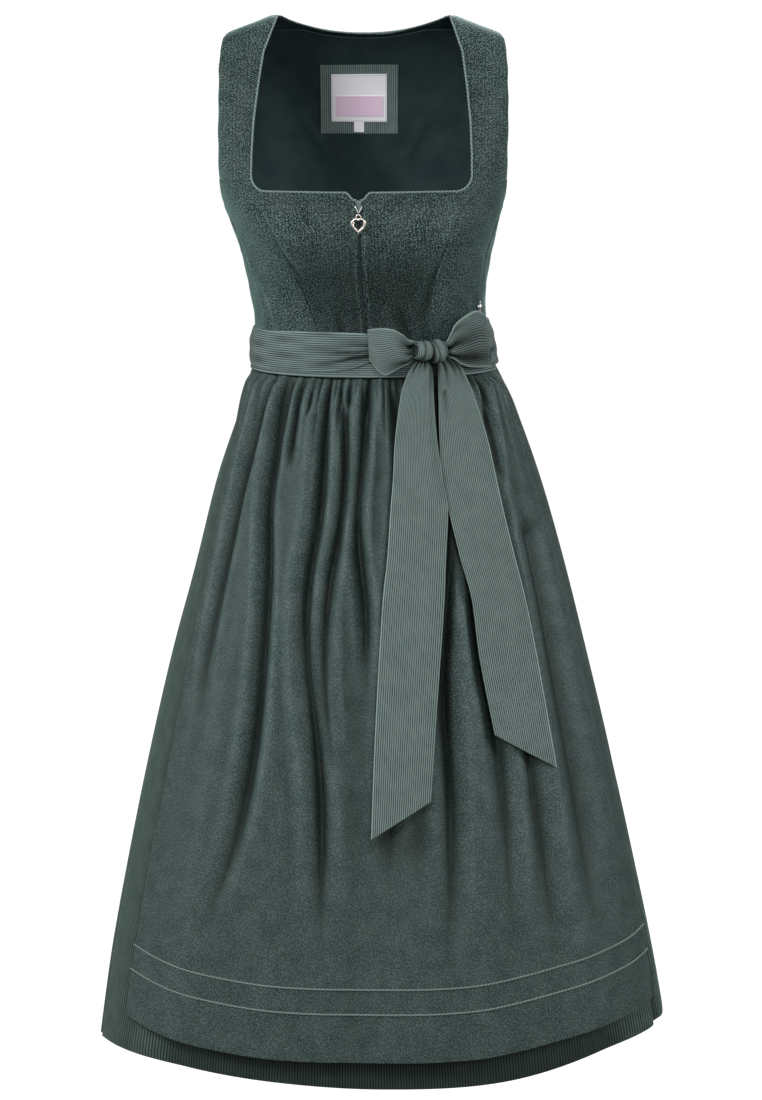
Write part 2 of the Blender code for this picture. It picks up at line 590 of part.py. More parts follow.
def front_neck_path():
    """Offsets and levels of the neck's front edge, from the notch out and up to the shoulder."""
    levels = front_levels()[len(BODICE_LOW_ROWS):]
    flat = [(ZIP_GAP / 2 + 0.0006, NECK_BOTTOM_Z - NOTCH_DEPTH * 0.80),
            (NOTCH_HALF_WIDTH * 0.55, NECK_BOTTOM_Z - NOTCH_DEPTH * 0.42),
            (NOTCH_HALF_WIDTH, NECK_BOTTOM_Z), (0.030, NECK_BOTTOM_Z), (0.051, NECK_BOTTOM_Z),
            (0.071, NECK_BOTTOM_Z)]
    rising = [(float(neck_edge(z)), float(z)) for z in levels[:-1]]
    return flat + rising


def neck_piping():
    """Cord round the neck: it rides just above the edge of the cloth, from notch to notch."""
    front = np.array(front_neck_path())
    lift = PIPING_RADIUS + SEAM_GAP + 0.0004
    x, y = by_width(front[:, 0], front[:, 1])
    right = lay(-x, y, front[:, 1], -BODICE_WALL / 2)
    left = lay(x, y, front[:, 1], -BODICE_WALL / 2)
    tangent = np.gradient(right, axis=0)
    tangent /= np.linalg.norm(tangent, axis=1, keepdims=True)
    normal = outward(-x, y, front[:, 1])
    inward = np.cross(tangent, normal)
    inward *= np.where(inward[:, 0] + inward[:, 2] > 0, 1, -1)[:, None]
    right = right + inward * lift
    mirrored = inward * np.array([-1, 1, 1])
    left = left + mirrored * lift
    columns = np.array([-0.0800, -0.0650, -0.0441, -0.0220, 0.0, 0.0190, 0.0400, 0.0650, 0.0800])
    level = back_neck_level(columns)
    bx, by = by_width(columns, level, front=False)
    back = lay(bx, by, level, -BODICE_WALL / 2) + np.array([0, -0.0004, lift + 0.0004])
    top_right = np.array([[-0.0836, 0.0035, 0.0016]])
    top_left = np.array([[0.0836, 0.0035, 0.0016]])
    path = np.concatenate([right, top_right, back, top_left, left[::-1]])
    return round_tube("neck_piping", PIPING, path, PIPING_RADIUS, sides=4)


def zip_tape():
    """Tape behind the gap between the fronts."""
    z = np.array(BODICE_LOW_ROWS[::-1], float)
    z[0] = NECK_BOTTOM_Z - NOTCH_DEPTH - 0.0004
    x = np.array([-0.0070, -ZIP_GAP / 2, ZIP_GAP / 2, 0.0070])
    x, z = np.meshgrid(x, z)
    x, y = by_width(x, z)
    return form_wall("zip_tape", TAPE, x, y, z, -BODICE_WALL - 0.0005, LINING_WALL)


# ---- zip slider and pull ---------------------------------------------------------------------

def pivot_point():
    surface = seen_at(form_at(PIVOT_Z, "centre") + form_at(PIVOT_Z, "twist"), np.array(PIVOT_Z), 0.0)
    return np.array([surface[0], surface[1] - PIVOT_OUT, PIVOT_Z])


def link(name, radius, wire, place, turn, sides=16, ring_sides=8):
    """Ring of round wire; turn 'X' stands it in the plane x = 0, and 'Y' in the plane y = 0."""
    bpy.ops.mesh.primitive_torus_add(major_radius=radius, minor_radius=wire, major_segments=sides,
                                     minor_segments=ring_sides, location=place)
    made = bpy.context.object
    made.name = name
    made.rotation_euler = (0, math.radians(90), 0) if turn == "X" else (math.radians(90), 0, 0)
    move_to(made, tools)
    made.hide_render = True
    made.display_type = "WIRE"
    return made


def move_to(thing, collection):
    for owner in list(thing.users_collection):
        owner.objects.unlink(thing)
    collection.objects.link(thing)


def join_on(target, other):
    union = target.modifiers.new(other.name, "BOOLEAN")
    union.operation = "UNION"
    union.object = other


def zip_slider(pivot):
    """Slider body with its bail, a ring that stands on it and carries the pull."""
    width, thick, height = SLIDER_SIZE
    back = pivot[1] + PIVOT_OUT - SEAM_GAP - 0.0002
    centre = (pivot[0], back - thick / 2, SLIDER_TOP_Z - height / 2)
    bpy.ops.mesh.primitive_cube_add(size=1.0, location=centre)
    body = bpy.context.object
    body.name = "zip_slider"
    body.data.transform(Matrix.Diagonal((width, thick, height, 1.0)))
    rounding = body.modifiers.new("rounded", "BEVEL")
    rounding.width = 0.0006
    rounding.segments = 2
    body.data.materials.append(material("zip_slider", *GUNMETAL))
    move_to(body, dress)
    join_on(body, link("bail", BAIL_RADIUS, BAIL_WIRE, pivot, "X"))
    return body


def heart_outline(turn):
    """Heart: x is the cube of a sine, z a sum of four cosines, both scaled to width and height."""
    x = np.sin(turn)**3
    z = 13 * np.cos(turn) - 3.2 * np.cos(2 * turn) - 1.2 * np.cos(3 * turn) - 0.6 * np.cos(4 * turn)
    return x * HEART_SIZE[0] / 2, z * HEART_SIZE[1] / 26.2


def zip_pull(pivot):
    """Open heart that hangs by its ring from the bail; its origin is on the hinge axis."""
    count = 28
    turn = np.arange(count) * 2 * math.pi / count
    x, z = heart_outline(turn)
    flat = math.hypot(HEART_WIRE, HEART_WIRE)
    outer = np.stack([x, 0 * x, z], axis=1) * (1 + HEART_WIRE / HEART_SIZE[0])
    inner = np.stack([x, 0 * x, z], axis=1) * HEART_OPENING
    rings = np.stack([outer + [0, -flat / 2, 0], outer + [0, flat / 2, 0],
                      inner + [0, flat / 2, 0], inner + [0, -flat / 2, 0]])
    drop = 2 * PULL_RING_RADIUS + z[0] - 0.0001
    rings = rings + np.array([0, 0, -drop])
    points = rings.reshape(-1, 3)
    faces = []
    for ring in range(4):
        for step in range(count):
            follow = (step + 1) % count
            above = (ring + 1) % 4
            faces.append([ring * count + step, ring * count + follow,
                          above * count + follow, above * count + step])
    mesh = bpy.data.meshes.new("zip_pull")
    mesh.from_pydata(points.tolist(), [], faces)
    pull = finish("zip_pull", mesh, ROSE_GOLD)
    pull.location = pivot
    ring_place = (pivot[0], pivot[1], pivot[2] - PULL_RING_RADIUS)
    join_on(pull, link("pull_ring", PULL_RING_RADIUS, PULL_RING_WIRE, ring_place, "Y"))
    return pull


# ---- waist, skirt and apron ------------------------------------------------------------------

def fold_depth(folds, angle, down, z):
    """Sum of soft troughs: each runs from its band angle to its hem angle and fades at both ends."""
    total = np.zeros(np.broadcast(angle, down).shape)
    radius = form_at(z, "half_width")
    for row in folds:
        fold = dict(zip(FOLD_COLUMNS, row))
        line = fold["top_angle"] + (fold["hem_angle"] - fold["top_angle"]) * down
        aside = np.radians(angle - line) * radius
        width = fold["width"] * (1 + 1.4 * down)
        rise = np.clip((down - fold["start"]) / (fold["deepest"] - fold["start"] + 1e-6), 0, 1)
        fall = np.clip((fold["end"] - down) / (fold["end"] - fold["deepest"]), 0, 1)
        total -= fold["depth"] * np.sin(rise * math.pi / 2) * fall * np.exp(-(aside / width)**2)
    return total


def table_of(rows, at, column=1):
    """Column of a table whose first column rises, read with a smooth curve."""
    return smooth(at, [row[0] for row in rows], [row[column] for row in rows])


def skirt_hem(angle):
    return table_of(SKIRT_HEM, (angle + 180.0) % 360.0 - 180.0)


def apron_hem(angle):
    return table_of(APRON_HEM, angle)


APRON_COLUMNS = 37
SKIRT_FRONT_ANGLES = (-90, -85, -79, -72, -62, -50, -36, -18, 0, 18, 36, 50, 62, 72, 79, 85, 90)
DROP_SHARES = np.array([0.0, 0.014, 0.040, 0.085, 0.15, 0.25, 0.40, 0.58, 0.79, 1.0])


def apron_cover(angle):
    """1 where the apron lies over the skirt, easing to 0 towards the apron's sides."""
    return np.clip((86.0 - np.abs((angle + 180.0) % 360.0 - 180.0)) / 26.0, 0, 1)


def skirt_panel(name, angles):
    """Half of the skirt, from one side seam to the other, with a column at each of the angles."""
    gap = np.degrees(SEAM_GAP / 2 / 0.12)
    angle = np.array(angles, float)[None, :]
    angle[0, 0] += gap
    angle[0, -1] -= gap
    down = DROP_SHARES[:, None]
    top = WAIST_Z - SEAM_GAP - 0.0003
    z = top + (skirt_hem(angle) - top) * down
    x, y = by_angle(angle, z)
    cover = apron_cover(angle)
    ease = np.clip(down / 0.03, 0, 1)
    out = -APRON_ROOM * cover * cover * (3 - 2 * cover) * ease
    out = out + fold_depth(SKIRT_FOLDS, angle % 360.0, down, z) * ease
    return form_wall(name, SKIRT_RIB, x, y, z, out, SKIRT_WALL)


def apron_grid(down, across):
    """Angle, level and reach of apron points: down 0 band to 1 hem, across 0 to 1 from side to side."""
    start = table_of(APRON_SIDES, down, 1)
    stop = table_of(APRON_SIDES, down, 2)
    angle = start + (stop - start) * across
    z = APRON_TOP_Z + (apron_hem(angle) - APRON_TOP_Z) * down
    ease = 0.25 + 0.75 * np.clip(down / 0.03, 0, 1)
    edge = np.clip(np.minimum(across, 1 - across) / 0.12, 0, 1)
    out = APRON_EDGE_OUT + (APRON_OUT - APRON_EDGE_OUT) * edge
    out = out + fold_depth(APRON_FOLDS, angle, down, z) * ease * edge
    return angle, z, out


def apron_panel():
    down = DROP_SHARES[:, None]
    across = np.linspace(0, 1, APRON_COLUMNS)[None, :]
    angle, z, out = apron_grid(down, across)
    x, y = by_angle(angle, z)
    return form_wall("apron_panel", APRON_CLOTH, x, y, z, out, APRON_WALL)


def apron_piping(name, rise):
    """Cord across the apron, a fixed rise above its hem, sitting on the panel's outer face."""
    across = np.linspace(0, 1, APRON_COLUMNS)
    down = np.full_like(across, 0.9)
    for _ in range(8):
        angle, z, out = apron_grid(down, across)
        down = down + (apron_hem(angle) + rise - z) / (apron_hem(angle) - APRON_TOP_Z)
    angle, z, out = apron_grid(down, across)
    x, y = by_angle(angle, z)
    path = lay(x, y, z, out + PIPING_RADIUS + 0.0010)
    return round_tube(name, PIPING, path, PIPING_RADIUS, sides=4)


def waist_ring(name, start, stop, columns, bottom, top, out, bulge, thickness):
    """Stretch of a band round the waist between two angles, fullest along its middle."""
    levels = np.array([bottom, (bottom + top) / 2, top])
    angle, z = np.meshgrid(np.linspace(start, stop, columns), levels)
    x, y = by_angle(angle, z)
    reach = out + np.array([[0.0], [bulge], [0.0]])
    return form_wall(name, RIB, x, y, z, reach, thickness)


def sash_and_band():
    waist_ring("apron_band", APRON_SIDES[0][1], APRON_SIDES[0][2], 21, BAND_BOTTOM_Z, BAND_TOP_Z,
               BAND_OUT, 0.0, BAND_WALL)
    for name, start, stop, columns, top in SASH_STRETCHES:
        waist_ring(name, start, stop, columns, SASH_BOTTOM_Z, top, SASH_OUT, SASH_BULGE, SASH_WALL)


# ---- bow -------------------------------------------------------------------------------------

def table_curve(rows, column, columns, count):
    index = columns.index(column)
    return smooth(np.linspace(0, len(rows) - 1, count), np.arange(len(rows)), [row[index] for row in rows])


def bow_loop(name, rows, inside_left):
    """Band of the bow: a strip carried out from the knot, round its end and back behind itself."""
    count = 17
    angle = table_curve(rows, "angle", LOOP_COLUMNS, count)
    out = table_curve(rows, "out", LOOP_COLUMNS, count)
    top = table_curve(rows, "top", LOOP_COLUMNS, count)
    bottom = table_curve(rows, "bottom", LOOP_COLUMNS, count)
    share = np.linspace(0, 1, 3)[None, :]
    z = bottom[:, None] + (top - bottom)[:, None] * share
    x, y = by_angle(angle[:, None] + 0 * share, z)
    points = lay(x, y, z, out[:, None] + 0 * share)
    inner = offset_sheet(points, SASH_WALL if inside_left else -SASH_WALL)
    return wall(name, RIB, points, inner)


def bow_knot():
    """Knot: a ball pulled in where the band is drawn round it, set square to the form."""
    bpy.ops.mesh.primitive_uv_sphere_add(segments=14, ring_count=9, radius=0.5)
    ball = bpy.context.object
    mesh = ball.data
    points = np.array([v.co for v in mesh.vertices])
    bpy.data.objects.remove(ball)
    squarer = np.sign(points) * np.abs(points * 2)**0.80 / 2
    across, through, up = KNOT_SIZE
    local = squarer * np.array([across, through, up])
    pinch = 1 - 0.16 * np.exp(-(local[:, 2] / (0.22 * up))**2)
    local[:, 0] *= pinch
    angle = math.radians(KNOT_ANGLE)
    normal = np.array([math.sin(angle), -math.cos(angle), 0])
    sideways = np.array([math.cos(angle), math.sin(angle), 0])
    x, y = by_angle(KNOT_ANGLE, KNOT_Z)
    centre = lay(x, y, KNOT_Z, KNOT_OUT)
    axes = np.stack([sideways, -normal, np.array([0, 0, 1.0])])
    placed = centre + local @ axes
    mesh.vertices.foreach_set("co", placed.ravel())
    mesh.name = "bow_knot"
    return finish("bow_knot", mesh, RIB)


def bow_tail(name, rows):
    """Strip that hangs from the knot and lies over the apron, with a slanting cut end."""
    count = 12
    spread = {c: table_curve(rows, c, TAIL_COLUMNS, count) for c in TAIL_COLUMNS}
    share = np.linspace(0, 1, 4)[None, :]
    x = spread["left_x"][:, None] + (spread["right_x"] - spread["left_x"])[:, None] * share
    z = spread["left_z"][:, None] + (spread["right_z"] - spread["left_z"])[:, None] * share
    points = seen_at(x, z, spread["out"][:, None] + 0 * share)
    inner = offset_sheet(points, SASH_WALL)
    return wall(name, RIB, points, inner)


# ---- side button -----------------------------------------------------------------------------

def side_button():
    """Small domed disc on the side of the waist and the loop of cord that hangs from it."""
    x, y = by_angle(BUTTON_ANGLE, BUTTON_Z)
    normal = Vector(outward(x, y, np.array(BUTTON_Z)))
    place = Vector(lay(x, y, BUTTON_Z, 0.0007))
    turn = normal.to_track_quat("Z", "Y")
    mesh = bpy.data.meshes.new("side_button")
    profile = ((0.0, 0.0), (BUTTON_RADIUS, 0.0), (BUTTON_RADIUS, 0.0008), (BUTTON_RADIUS * 0.82, 0.0016),
               (BUTTON_RADIUS * 0.5, 0.0026), (0.0, 0.0030))
    work = bmesh.new()
    corners = [work.verts.new((r, 0, h)) for r, h in profile]
    edges = [work.edges.new(pair) for pair in zip(corners[:-1], corners[1:])]
    bmesh.ops.spin(work, geom=corners + edges, cent=(0, 0, 0), axis=(0, 0, 1), angle=2 * math.pi,
                   steps=20, use_merge=True, use_duplicate=False)
    bmesh.ops.remove_doubles(work, verts=work.verts, dist=1e-6)
    work.to_mesh(mesh)
    work.free()
    button = finish("side_button", mesh, SILVER)
    button.matrix_world = Matrix.Translation(place) @ turn.to_matrix().to_4x4()
    return button


def button_loop():
    """Loop of thin cord from the button down to the sash."""
    start_z = BUTTON_Z - BUTTON_RADIUS - 0.0012
    z = np.linspace(start_z, SASH_LEFT_TOP_Z + 0.0025, 5)
    angle = BUTTON_ANGLE + np.array([0.0, 0.6, 0.6, 0.2, 0.0])
    x, y = by_angle(angle, z)
    path = lay(x, y, z, 0.0016)
    return round_tube("button_loop", PALE, path, 0.0009, sides=6)


# ---- build -----------------------------------------------------------------------------------

for old in list(bpy.data.objects):
    bpy.data.objects.remove(old, do_unlink=True)

dress = bpy.data.collections.new("dirndl_dress")
tools = bpy.data.collections.new("join_tools")
bpy.context.scene.collection.children.link(dress)
bpy.context.scene.collection.children.link(tools)

for side, name in ((-1, "right"), (1, "left")):
    bodice_front(side, f"bodice_front_{name}")
    side_panel(side, f"bodice_side_{name}", PRINCESS, front_seam_levels(), True)
    side_panel(side, f"bodice_back_side_{name}", BACK_PRINCESS, back_seam_levels(), False)
bodice_back()
back_lining()
labels()
neck_piping()
zip_tape()

pivot = pivot_point()
zip_slider(pivot)
zip_pull(pivot)

skirt_panel("skirt_front", SKIRT_FRONT_ANGLES)
skirt_panel("skirt_back", np.linspace(90.0, 270.0, 35))
apron_panel()
for piping_name, piping_rise in PIPING_RISES:
    apron_piping(piping_name, piping_rise)
sash_and_band()
bow_loop("bow_loop_right", LOOP_RIGHT, True)
bow_loop("bow_loop_left", LOOP_LEFT, False)
bow_knot()
bow_tail("bow_tail_right", TAIL_RIGHT)
bow_tail("bow_tail_left", TAIL_LEFT)
side_button()
button_loop()
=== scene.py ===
"""Looks of the dirndl dress: every cut piece as a thin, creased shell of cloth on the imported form.

The origin is between the shoulder neck points, +Z is up and the wearer faces -Y, so the wearer's
left is +X. Lengths are in metres, and angles round the body in degrees: 0 front, 90 wearer's left.
"""

import json
import math

import bpy
import numpy as np
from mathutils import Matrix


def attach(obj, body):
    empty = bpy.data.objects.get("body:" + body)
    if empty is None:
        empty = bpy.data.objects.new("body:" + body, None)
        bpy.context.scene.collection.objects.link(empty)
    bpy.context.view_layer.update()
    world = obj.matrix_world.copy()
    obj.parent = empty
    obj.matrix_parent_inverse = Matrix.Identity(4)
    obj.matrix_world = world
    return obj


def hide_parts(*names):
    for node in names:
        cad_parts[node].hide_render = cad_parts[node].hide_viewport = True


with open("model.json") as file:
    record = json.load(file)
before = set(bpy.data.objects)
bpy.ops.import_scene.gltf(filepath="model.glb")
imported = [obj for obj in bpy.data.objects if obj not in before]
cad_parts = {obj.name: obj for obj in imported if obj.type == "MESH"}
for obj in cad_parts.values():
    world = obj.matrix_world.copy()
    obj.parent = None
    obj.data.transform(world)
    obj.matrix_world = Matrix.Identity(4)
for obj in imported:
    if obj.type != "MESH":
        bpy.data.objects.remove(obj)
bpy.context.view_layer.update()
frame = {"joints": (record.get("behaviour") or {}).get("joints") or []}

# ---- sizes ------------------------------------------------------------------------------------

SEAM_GAP = 0.0003
BODICE_WALL = 0.0012
LINING_OUT = -0.0042        # outer face of the back's lining
LINING_WALL = 0.0008
LABEL_WALL, LABEL_GAP = 0.0006, 0.0003
SKIRT_WALL = 0.0012
APRON_WALL = 0.0011
SASH_WALL = 0.0010
TURNED_EDGE = 0.0016        # how far in from its edges a shell with a turned seam is rounded
BODICE_ROLL = 0.0007        # and how much at the bodice's seams
SIDE_RADIUS, SKIRT_RADIUS, SASH_RADIUS = 0.105, 0.270, 0.115    # turn angles round the body into cloth
DEGREE = 0.0021             # cloth in one degree round the bodice's side

WAIST_Z = -0.3435
NECK_BOTTOM_Z = -0.1660
NECK_CORNER_RADIUS = 0.0165
NOTCH_DEPTH = 0.0070
NOTCH_EDGES = (0.0040, 0.0125)      # half widths where the notch is deepest and where it ends
BACK_NECK_DROP = 0.0185
BACK_NECK_HALF_WIDTH = 0.0850
LINING_HALF_WIDTH = 0.1200
SHOULDER_NECK_X = 0.0900
SHOULDER_SLOPE = 0.40
SHOULDER_SEAM = 0.0003
SHOULDER_FADE_Z = -0.100
ARMHOLE_BOTTOM_Z = -0.1850
PRINCESS_TOP_Z = NECK_BOTTOM_Z + NECK_CORNER_RADIUS / 2
BACK_PRINCESS_TOP_Z = -0.1400
ZIP_GAP = 0.0022
LEAN_REACH = 0.055          # the zip's lean is gone this far from the middle
TAPE_HALF_WIDTH = 0.0072
SLIDER_TOP = -0.1720
TOOTH_PITCH = 0.00075
PLACKET = 0.0085            # from the zip and the neck's edge to the stitched line beside them

BUST_FULLNESS = 0.0080
BUST_ANGLE = 36.0
BUST_SPREAD = 19.0
BUST_Z = -0.205
BUST_HEIGHT = 0.036

APRON_TOP_Z = -0.3462
APRON_OUT = 0.0045
APRON_EDGE_OUT = 0.0024
APRON_ROOM = 0.0105
APRON_WIDTH = 0.68
DEEPEST_FOLD, HIGHEST_RIDGE = -0.0165, 0.0045
PIPING_RADIUS = 0.0010
CORD_SIDES, CORD_STEP = 10, 0.0006
CORD_CORE, CORD_SWELL = 0.80, 0.24
TAIL_WIDTH = 0.058
BAND_TOP_Z, BAND_BOTTOM_Z, BAND_OUT = -0.3250, -0.3456, 0.0022
SASH_OUT, SASH_BULGE, SASH_HUG = 0.0043, 0.0011, 0.0026
SASH_TOP_Z, SASH_LEFT_TOP_Z, SASH_BOTTOM_Z = -0.3050, -0.2965, -0.3405

LEVEL_STEP = 1e-4           # over which the form's slope is measured
LEAST_DEPTH = 1e-5
SEEN_ROUNDS = 6

FORM_COLUMNS = ("z", "centre", "half_width", "front", "back", "twist", "square")
FORM = (
    (0.0000, 0.0000, 0.1500, 0.0000, 0.0000, 0.0000, 2.50),
    (-0.010, 0.0000, 0.1500, 0.0270, 0.0290, -0.0012, 2.50),
    (-0.040, 0.0000, 0.1500, 0.0560, 0.0620, -0.0030, 2.50),
    (-0.080, 0.0000, 0.1500, 0.0800, 0.0860, -0.0036, 2.50),
    (-0.120, 0.0000, 0.1495, 0.0965, 0.1000, -0.0044, 2.48),
    (-0.150, 0.0000, 0.1465, 0.1065, 0.1055, -0.0048, 2.45),
    (-0.172, 0.0000, 0.1412, 0.1128, 0.1070, -0.0050, 2.40),
    (-0.190, 0.0007, 0.1355, 0.1146, 0.1065, -0.0050, 2.36),
    (-0.220, 0.0020, 0.1263, 0.1120, 0.1030, -0.0034, 2.32),
    (-0.250, 0.0032, 0.1196, 0.1045, 0.0975, -0.0010, 2.30),
    (-0.289, 0.0060, 0.1148, 0.0955, 0.0920, 0.0030, 2.28),
    (-0.320, 0.0086, 0.1166, 0.0935, 0.0915, 0.0034, 2.26),
    (-0.3435, 0.0104, 0.1205, 0.0945, 0.0935, 0.0030, 2.25),
    (-0.353, 0.0110, 0.1250, 0.0990, 0.0990, 0.0020, 2.20),
    (-0.369, 0.0120, 0.1320, 0.1050, 0.1065, 0.0012, 2.18),
    (-0.399, 0.0135, 0.1417, 0.1130, 0.1160, 0.0, 2.15),
    (-0.449, 0.0145, 0.1580, 0.1240, 0.1290, 0.0, 2.12),
    (-0.530, 0.0160, 0.1800, 0.1390, 0.1460, 0.0, 2.10),
    (-0.632, 0.0155, 0.2064, 0.1560, 0.1640, 0.0, 2.08),
    (-0.734, 0.0165, 0.2305, 0.1720, 0.1820, 0.0, 2.06),
    (-0.838, 0.0175, 0.2528, 0.1870, 0.1980, 0.0, 2.05),
    (-0.943, 0.0190, 0.2737, 0.2020, 0.2140, 0.0, 2.05),
    (-1.045, 0.0205, 0.2905, 0.2145, 0.2275, 0.0, 2.05),
)
NECK = ((0.0000, 0.0850), (-0.0060, 0.0872), (-0.032, 0.0972), (-0.067, 0.1020), (-0.100, 0.1055),
        (-0.130, 0.1070), (NECK_BOTTOM_Z + NECK_CORNER_RADIUS, 0.1072))
ARMHOLE = ((0.0000, 0.1340), (-0.005, 0.1372), (-0.020, 0.1396), (-0.045, 0.1414), (-0.200, 0.1414))
PRINCESS = ((-0.3435, 0.0520), (-0.300, 0.0545), (-0.260, 0.0640), (-0.226, 0.0735), (-0.205, 0.0815),
            (-0.185, 0.0930), (-0.170, 0.1085), (-0.161, 0.1270), (PRINCESS_TOP_Z, 0.1414))
BACK_PRINCESS = ((-0.3435, 0.0480), (-0.290, 0.0510), (-0.240, 0.0620), (-0.200, 0.0780),
                 (-0.170, 0.1000), (-0.150, 0.1200), (BACK_PRINCESS_TOP_Z, 0.1414))

# Side edges of the apron: way down from 0 to 1, angle of the right edge, angle of the left edge.
APRON_SIDES = (
    (0.00, -85.0, 79.0), (0.06, -80.0, 81.8), (0.14, -74.5, 84.0), (0.30, -71.5, 85.5),
    (0.60, -70.0, 85.0), (0.80, -71.0, 81.5), (1.00, -71.0, 77.5),
)
APRON_HEM = ((-90.0, -0.976), (-69.0, -0.985), (-55.0, -0.993), (-34.0, -0.998), (0.0, -0.998),
             (25.0, -0.997), (50.0, -0.986), (77.5, -0.974), (90.0, -0.970))      # angle, level
SKIRT_HEM = ((-180.0, -1.012), (-130.0, -1.025), (-95.0, -1.031), (-76.0, -1.0205), (-56.0, -1.0216),
             (-31.0, -1.0245), (0.0, -1.0272), (33.0, -1.0250), (62.0, -1.0105), (90.0, -1.0000),
             (130.0, -1.004), (180.0, -1.012))

# Folds of the apron: width, depth, then the line as (level, angle) from its top to its end.
APRON_FOLDS = (
    (0.0060, 0.0060, ((-0.350, -80.0), (-0.45, -78.0), (-0.60, -72.0))),
    (0.0058, 0.0075, ((-0.352, -58.5), (-0.403, -60.7), (-0.438, -61.9), (-0.526, -63.0), (-0.70, -62.0))),
    (0.0052, 0.0080, ((-0.352, -46.6), (-0.405, -47.5), (-0.464, -47.6), (-0.530, -44.1), (-0.810, -44.6),
                      (-0.900, -51.0))),
    (0.0040, 0.0060, ((-0.350, -39.2), (-0.395, -40.5), (-0.440, -39.7))),
    (0.0035, 0.0050, ((-0.350, -33.3), (-0.385, -34.2))),
    (0.0065, 0.0095, ((-0.350, -26.4), (-0.422, -25.3), (-0.480, -25.6), (-0.527, -27.5), (-0.755, -19.0),
                      (-0.930, -17.5))),
    (0.0060, 0.0085, ((-0.350, -19.9), (-0.407, -16.0), (-0.460, -15.9), (-0.541, -20.2), (-0.660, -18.6),
                      (-0.780, -9.8))),
    (0.0036, 0.0045, ((-0.350, -13.5), (-0.376, -14.5))),
    (0.0052, 0.0075, ((-0.349, -4.6), (-0.421, -7.4), (-0.479, -9.4), (-0.564, -5.7), (-0.66, -4.0))),
    (0.0060, 0.0070, ((-0.349, 9.0), (-0.42, 11.0), (-0.50, 8.0), (-0.70, 3.0), (-0.86, 2.0))),
    (0.0070, 0.0090, ((-0.36, 33.0), (-0.485, 30.2), (-0.613, 23.4), (-0.756, 22.2), (-0.930, 17.7))),
    (0.0070, 0.0075, ((-0.36, 40.0), (-0.567, 35.5), (-0.663, 38.7), (-0.90, 36.0))),
    (0.0080, 0.0070, ((-0.40, 47.0), (-0.60, 50.0), (-0.715, 48.6), (-0.812, 48.3), (-0.95, 46.0))),
    (0.0045, 0.0065, ((-0.349, 59.2), (-0.380, 56.3), (-0.46, 54.5))),
    (0.0110, 0.0055, ((-0.50, 63.0), (-0.77, 62.0), (-0.93, 61.0))),
    (0.0045, 0.0050, ((-0.349, 70.7), (-0.371, 75.7), (-0.45, 78.0))),
)
# Narrow gathers below the band: angle, depth, half width, length.
APRON_GATHERS = (
    (-80.0, 0.0030, 0.0020, 0.030), (-74.0, 0.0040, 0.0020, 0.040), (-68.5, 0.0034, 0.0018, 0.035),
    (-63.5, 0.0045, 0.0018, 0.045), (-57.4, 0.0056, 0.0019, 0.060), (-53.5, 0.0034, 0.0015, 0.030),
    (-49.1, 0.0050, 0.0017, 0.050), (-44.7, 0.0056, 0.0017, 0.055), (-40.5, 0.0050, 0.0016, 0.050),
    (-37.4, 0.0034, 0.0014, 0.030), (-34.3, 0.0050, 0.0016, 0.040), (-30.6, 0.0062, 0.0020, 0.075),
    (-26.0, 0.0052, 0.0016, 0.055), (-22.6, 0.0034, 0.0014, 0.030), (-19.7, 0.0056, 0.0018, 0.050),
    (-14.9, 0.0052, 0.0017, 0.045), (-11.1, 0.0046, 0.0016, 0.040), (-7.8, 0.0034, 0.0015, 0.030),
    (-4.5, 0.0056, 0.0018, 0.060), (0.0, 0.0040, 0.0015, 0.035), (3.9, 0.0050, 0.0017, 0.045),
    (7.8, 0.0046, 0.0016, 0.040), (11.2, 0.0056, 0.0018, 0.050), (16.0, 0.0045, 0.0018, 0.045),
    (22.0, 0.0050, 0.0020, 0.040), (29.0, 0.0045, 0.0018, 0.050), (36.0, 0.0050, 0.0020, 0.040),
    (43.0, 0.0045, 0.0018, 0.050), (48.0, 0.0042, 0.0017, 0.040), (52.5, 0.0045, 0.0018, 0.040),
    (56.0, 0.0050, 0.0018, 0.050), (59.0, 0.0056, 0.0020, 0.050), (62.5, 0.0040, 0.0017, 0.035),
    (65.1, 0.0050, 0.0018, 0.045), (69.0, 0.0034, 0.0015, 0.030), (72.2, 0.0050, 0.0018, 0.040),
    (76.0, 0.0034, 0.0016, 0.030),
)
# Broad swells between them: angle at the band, angle at the hem, half width in degrees, height.
APRON_SWELLS = (
    (-70.0, -66.0, 7.0, 0.0030),
    (-52.0, -54.0, 6.0, 0.0035),
    (-34.0, -32.0, 8.0, 0.0040),
    (-12.0, -9.0, 6.0, -0.0035),
    (14.0, 8.0, 9.0, 0.0030),
    (26.0, 27.0, 6.0, 0.0035),
    (52.0, 56.0, 7.0, 0.0030),
    (68.0, 70.0, 6.0, 0.0025),
)

# Bow bands from the knot, round their end and back: top edge, bottom edge and how far forward.
LOOP_COLUMNS = ("top_x", "top_z", "bottom_x", "bottom_z", "y")
LOOP_RIGHT = (
    (0.0507, -0.3104, 0.0517, -0.3244, -0.1051),
    (0.0446, -0.3069, 0.0440, -0.3304, -0.1119),
    (0.0388, -0.3016, 0.0372, -0.3329, -0.1157),
    (0.0285, -0.2961, 0.0295, -0.3364, -0.1190),
    (0.0189, -0.2948, 0.0207, -0.3398, -0.1184),
    (0.0103, -0.2953, 0.0136, -0.3352, -0.1159),
    (0.0055, -0.2965, 0.0074, -0.3265, -0.1124),
    (0.0047, -0.2972, 0.0066, -0.3255, -0.1084),
    (0.0069, -0.2989, 0.0088, -0.3260, -0.1050),
    (0.0189, -0.2996, 0.0199, -0.3311, -0.1028),
    (0.0315, -0.3021, 0.0315, -0.3293, -0.1018),
    (0.0469, -0.3101, 0.0469, -0.3237, -0.0995),
)
